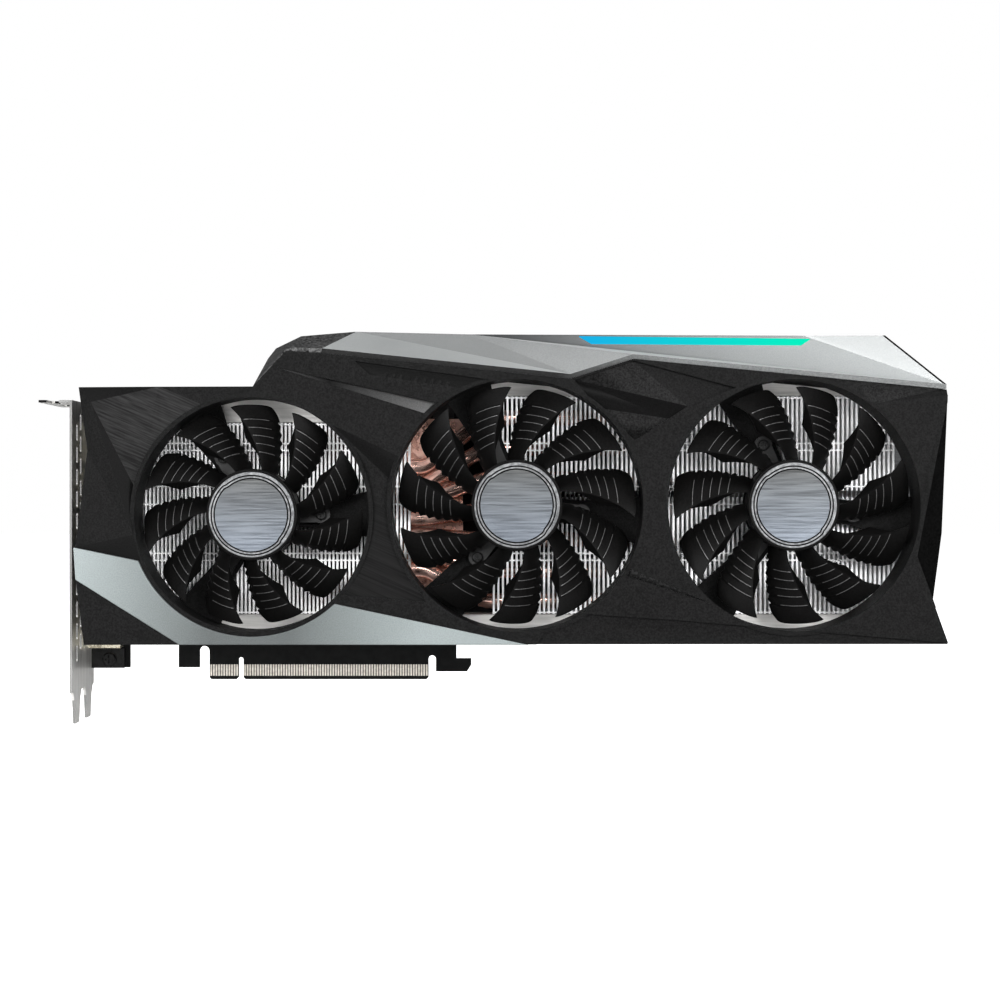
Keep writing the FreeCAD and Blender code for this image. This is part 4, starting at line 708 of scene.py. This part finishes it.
def cutCrease(bm):
    # a shallow groove across the rear facet, coloured with painted shade, and beyond it a corner with
    # painted light
    start, end = (Vector(coverPlan[k]) * mm for k in ("from", "to"))
    facetNormal = Vector(coverPlan["facet"])
    wide = coverPlan["wide"] * mm
    across = (end - start).cross(facetNormal).normalized()
    if across.x < 0:
        across.negate()
    for step in (0.0, wide):
        faces = [f for f in bm.faces if f.normal.dot(facetNormal) > coverPlan["same"]]
        geom = faces + list({e for f in faces for e in f.edges}) + list({v for f in faces for v in f.verts})
        bmesh.ops.bisect_plane(bm, geom=geom, dist=1e-6, plane_co=start + across * step, plane_no=across)
    groove = []
    for f in bm.faces:
        if f.normal.dot(facetNormal) < coverPlan["same"]:
            continue
        along = (f.calc_center_median() - start).dot(across) / wide
        if along > 1:
            f.material_index = coverFinish["panelCornerPaintedLight"]
        elif along > 0:
            groove.append(f)
    made = bmesh.ops.inset_region(bm, faces=groove, thickness=coverPlan["slope"] * mm,
                                  depth=-coverPlan["deep"] * mm)
    for f in made["faces"] + groove:
        f.material_index = coverFinish["panelPaintedShade"]


def paintedShadeRim(bm):
    # painted shade: a dark line along the corner facet's outer edge
    corner, rim = coverFinish["panelCornerPaintedLight"], coverFinish["ringBlack"]
    for facet in [f for f in bm.faces if f.material_index == corner]:
        outer = [e for e in facet.edges if any(f.normal.x > coverPlan["rimFacing"] for f in e.link_faces)]
        if not outer:
            continue
        a, b = (v.co.copy() for v in outer[0].verts)
        normal = facet.normal.copy()
        inward = normal.cross(b - a).normalized()
        if inward.x > 0:
            inward.negate()
        place = a + inward * coverPlan["rim"] * mm
        bmesh.ops.bisect_plane(bm, geom=[facet, *facet.edges, *facet.verts], dist=1e-6, plane_co=place,
                               plane_no=inward)
        for f in bm.faces:
            beyond = (f.calc_center_median() - place).dot(inward) < 0
            if f.material_index == corner and f.normal.dot(normal) > coverPlan["rimSame"] and beyond:
                f.material_index = rim


def coverFaceFinish(normal, depth):
    # the front lip, the upper facets, the tilted ones, the nearly level ones, then the rest; each carries
    # its own painted light and shade
    if normal.y < -0.9 and depth < coverPlan["lipDepth"]:
        return "bandGrainPaintedShade"
    if -0.6 < normal.y < -0.5 and normal.z > 0.8:
        return "panelPaintedShade"
    if -0.5 < normal.y < -0.4 or (normal.y < -0.6 and 0.6 < normal.z < 0.8):
        return "panelTiltPaintedShade"
    if normal.z > 0.985:
        return "panelCornerPaintedLight"
    return "panelSilver"


def buildTopCover():
    bm = copyOfNode("top_panel")
    for f in bm.faces:
        f.material_index = coverFinish[coverFaceFinish(f.normal, f.calc_center_median().y / mm)]
    cutCrease(bm)
    paintedShadeRim(bm)
    piece = makePiece("top_cover", bm, coverPlan["finishes"], "card", ["top_panel"])
    softEdges(piece, coverPlan["edge"])


wedgePlan = {"grooveAbove": 70.0 * mm, "edge": 0.15 * mm}


def buildWedges():
    bm = copyOfNode("gloss_wedges")
    for f in bm.faces:
        # faces of the upper groove get painted shade and a painted highlight
        f.material_index = 1 if f.calc_center_median().z > wedgePlan["grooveAbove"] else 0
    piece = makePiece("wedges", bm, ["wedgeGloss", "groovePaintedShadeHighlight"], "card", ["gloss_wedges"])
    softEdges(piece, wedgePlan["edge"])


bracketPlan = {"tab": 9.5 * mm, "flange": 4.0 * mm, "edge": 0.12 * mm, "angle": 40.0}


def buildBracket():
    # the tab that the board is screwed to is coated black; the flange's near edge is made black, and the
    # other near edges darker
    bm = copyOfNode("io_bracket")
    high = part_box("io_bracket")[1]
    names = ["bracketNickel", "screwBlack", "bracketEdge", "ringBlack"]
    for f in bm.faces:
        c = f.calc_center_median()
        if c.x > high[0] - bracketPlan["tab"]:
            f.material_index = names.index("screwBlack")
        elif f.normal.y < -0.9:
            onFlange = c.z > high[2] - bracketPlan["flange"]
            f.material_index = names.index("ringBlack" if onFlange else "bracketEdge")
    piece = makePiece("bracket", bm, names, "card", ["io_bracket"])
    softEdges(piece, bracketPlan["edge"], bracketPlan["angle"])


def buildEndCap():
    bm = copyOfNode("top_end_cap")
    softEdges(makePiece("end_cap", bm, ["capGrain"], "card", ["top_end_cap"]), 0.3 * mm)


buildShroud()
buildSwoosh()
buildTopCover()
buildWedges()
buildBracket()
buildEndCap()
print("shroud and trims made")


# backplate and the springs under the cooler's screws

springPlan = {"wire": 0.28 * mm, "turns": 4.5, "stepsPerTurn": 28, "around": 10, "smooth": 60.0}
platePlan = {"edge": 0.25 * mm, "angle": 30.0}


def looseParts(bm):
    # the points of each part that touches no other
    parts, unseen = [], set(bm.verts)
    while unseen:
        stack, part = [unseen.pop()], []
        while stack:
            v = stack.pop()
            part.append(v.co.copy())
            for other in (e.other_vert(v) for e in v.link_edges):
                if other in unseen:
                    unseen.discard(other)
                    stack.append(other)
        parts.append(part)
    return parts


def oneSpring(bm, low, high):
    wire, turns = springPlan["wire"], springPlan["turns"]
    radius = (high.x - low.x) / 2 - wire
    rise = (high.y - low.y - 2 * wire) / turns
    steps = round(turns * springPlan["stepsPerTurn"])
    middle = (low + high) / 2
    start = Matrix.Translation((middle.x + radius, low.y + wire, middle.z))
    ring = bmesh.ops.create_circle(bm, segments=springPlan["around"], radius=wire, cap_ends=False,
                                   matrix=start)
    first = list({e for v in ring["verts"] for e in v.link_edges})
    made = bmesh.ops.spin(bm, geom=ring["verts"] + first, cent=middle, axis=(0, 1, 0),
                          angle=math.tau * turns, steps=steps, dvec=(0, rise * turns / steps, 0))
    last = [g for g in made["geom_last"] if isinstance(g, bmesh.types.BMEdge)]
    bmesh.ops.contextual_create(bm, geom=last)
    bmesh.ops.contextual_create(bm, geom=first)


def buildSprings():
    source = bmesh.new()
    source.from_mesh(nodes["cooler_springs"].data)
    bmesh.ops.remove_doubles(source, verts=source.verts, dist=copyPlan["merge"])
    parts = looseParts(source)
    source.free()
    bm = bmesh.new()
    for part in parts:
        oneSpring(bm, *(Vector([pick(c[i] for c in part) for i in range(3)]) for pick in (min, max)))
    bmesh.ops.recalc_face_normals(bm, faces=bm.faces)
    makePiece("springs", bm, ["screwSteel"], "card", ["cooler_springs"],
              smooth=springPlan["smooth"])


def buildRearPlate():
    bm = copyOfNode("backplate")
    piece = makePiece("rear_plate", bm, ["backplateDark"], "card", ["backplate"])
    softEdges(piece, platePlan["edge"], platePlan["angle"])


buildRearPlate()
buildSprings()
print("backplate and springs made")


# camera, light and floor

stagePlan = {
    "eye": (0.0997, -0.755, 0.069), "lens": 70.5, "sensor": 36.0, "nearest": 0.01, "gamma": 0.85,
    # brightness of the studio round the card, by height: floor, level, ceiling
    "room": [(0.0, 0.10), (0.42, 0.16), (0.50, 0.30), (0.60, 0.16), (1.0, 0.10)], "roomBlue": 1.03,
    "lights": [
        ("overheadSoft", (0.1, -0.25, 0.85), (0.1, 0.0, 0.11), (1.6, 0.5), 7.5),
        ("frontSoft", (0.1, -0.95, 0.42), (0.1, 0.0, 0.07), (1.3, 0.26), 11.2),
        ("leftSoft", (-0.60, -0.85, 0.22), (0.05, -0.03, 0.07), (0.45, 0.5), 11.2),
        ("rightSoft", (0.80, -0.85, 0.22), (0.15, -0.03, 0.07), (0.45, 0.5), 11.2),
    ],
}
floorPlan = {
    "half": 4.0, "middleX": 0.1, "gap": 0.0004, "tone": 0.80, "toneRange": 0.02, "grain": 3.0,
    "glow": 0.93, "rough": 0.9,
}


def areaLight(name, place, aim, size, power):
    data = bpy.data.lights.new(name, "AREA")
    data.shape = "RECTANGLE"
    data.size, data.size_y = size
    data.energy = power
    light = bpy.data.objects.new(name, data)
    light.location = place
    light.rotation_euler = (Vector(aim) - Vector(place)).to_track_quat("-Z", "Y").to_euler()
    light.visible_camera = False
    scene.collection.objects.link(light)


def floorPaint():
    # lights itself where it is looked at, so it stays pale without lighting the card from below
    mat, tree, shader = newMaterial("floorPaint")
    tone = floorPlan["tone"]
    grain = noise(tree, objectCoords(tree), floorPlan["grain"])
    paint = blendColours(tree, grain, (tone,) * 3, (tone + floorPlan["toneRange"],) * 3)
    seen = tree.nodes.new("ShaderNodeLightPath").outputs["Is Camera Ray"]
    glow = maths(tree, "MULTIPLY", seen, floorPlan["glow"])
    tree.links.new(paint, shader.inputs["Base Color"])
    tree.links.new(glow, shader.inputs["Emission Strength"])
    shader.inputs["Emission Color"].default_value = (1, 1, 1, 1)
    shader.inputs["Roughness"].default_value = floorPlan["rough"]
    shader.inputs["Specular IOR Level"].default_value = 0.0
    return mat


def buildFloor():
    bm = bmesh.new()
    bmesh.ops.create_grid(bm, x_segments=1, y_segments=1, size=floorPlan["half"])
    height = cadBox[0][2] - floorPlan["gap"]
    bmesh.ops.translate(bm, verts=bm.verts, vec=(floorPlan["middleX"], 0, height))
    mesh = bpy.data.meshes.new("floor")
    bm.to_mesh(mesh)
    bm.free()
    mesh.materials.append(floorPaint())
    plane = bpy.data.objects.new("floor", mesh)
    scene.collection.objects.link(plane)


def buildWorld():
    # seen straight on it is white, and what it reflects in the card changes with height
    world = bpy.data.worlds.new("studio")
    world.use_nodes = True
    tree = world.node_tree
    background = tree.nodes["Background"]
    coords = tree.nodes.new("ShaderNodeTexCoord")
    parts = tree.nodes.new("ShaderNodeSeparateXYZ")
    tree.links.new(coords.outputs["Generated"], parts.inputs[0])
    fade = tree.nodes.new("ShaderNodeValToRGB")
    stops = fade.color_ramp.elements
    stops.remove(stops[1])
    for i, (height, tone) in enumerate(stagePlan["room"]):
        stop = stops[0] if i == 0 else stops.new(height)
        stop.position = height
        stop.color = (tone, tone, tone * stagePlan["roomBlue"], 1)
    tree.links.new(spread(tree, parts.outputs["Z"], 0.0, 1.0, -1.0, 1.0), fade.inputs["Fac"])
    seen = tree.nodes.new("ShaderNodeLightPath").outputs["Is Camera Ray"]
    white = (1.0, 1.0, 1.0)
    tree.links.new(blendColours(tree, seen, fade.outputs["Color"], white), background.inputs["Color"])
    scene.world = world


def buildCamera():
    data = bpy.data.cameras.new("viewer")
    data.lens = stagePlan["lens"]
    data.sensor_width = stagePlan["sensor"]
    data.clip_start = stagePlan["nearest"]
    camera = bpy.data.objects.new("viewer", data)
    camera.location = stagePlan["eye"]
    camera.rotation_euler = (math.pi / 2, 0, 0)
    scene.collection.objects.link(camera)
    scene.camera = camera


buildCamera()
buildFloor()
for light in stagePlan["lights"]:
    areaLight(*light)
buildWorld()
scene.view_settings.view_transform = "Standard"
scene.view_settings.gamma = stagePlan["gamma"]
print("stage made")
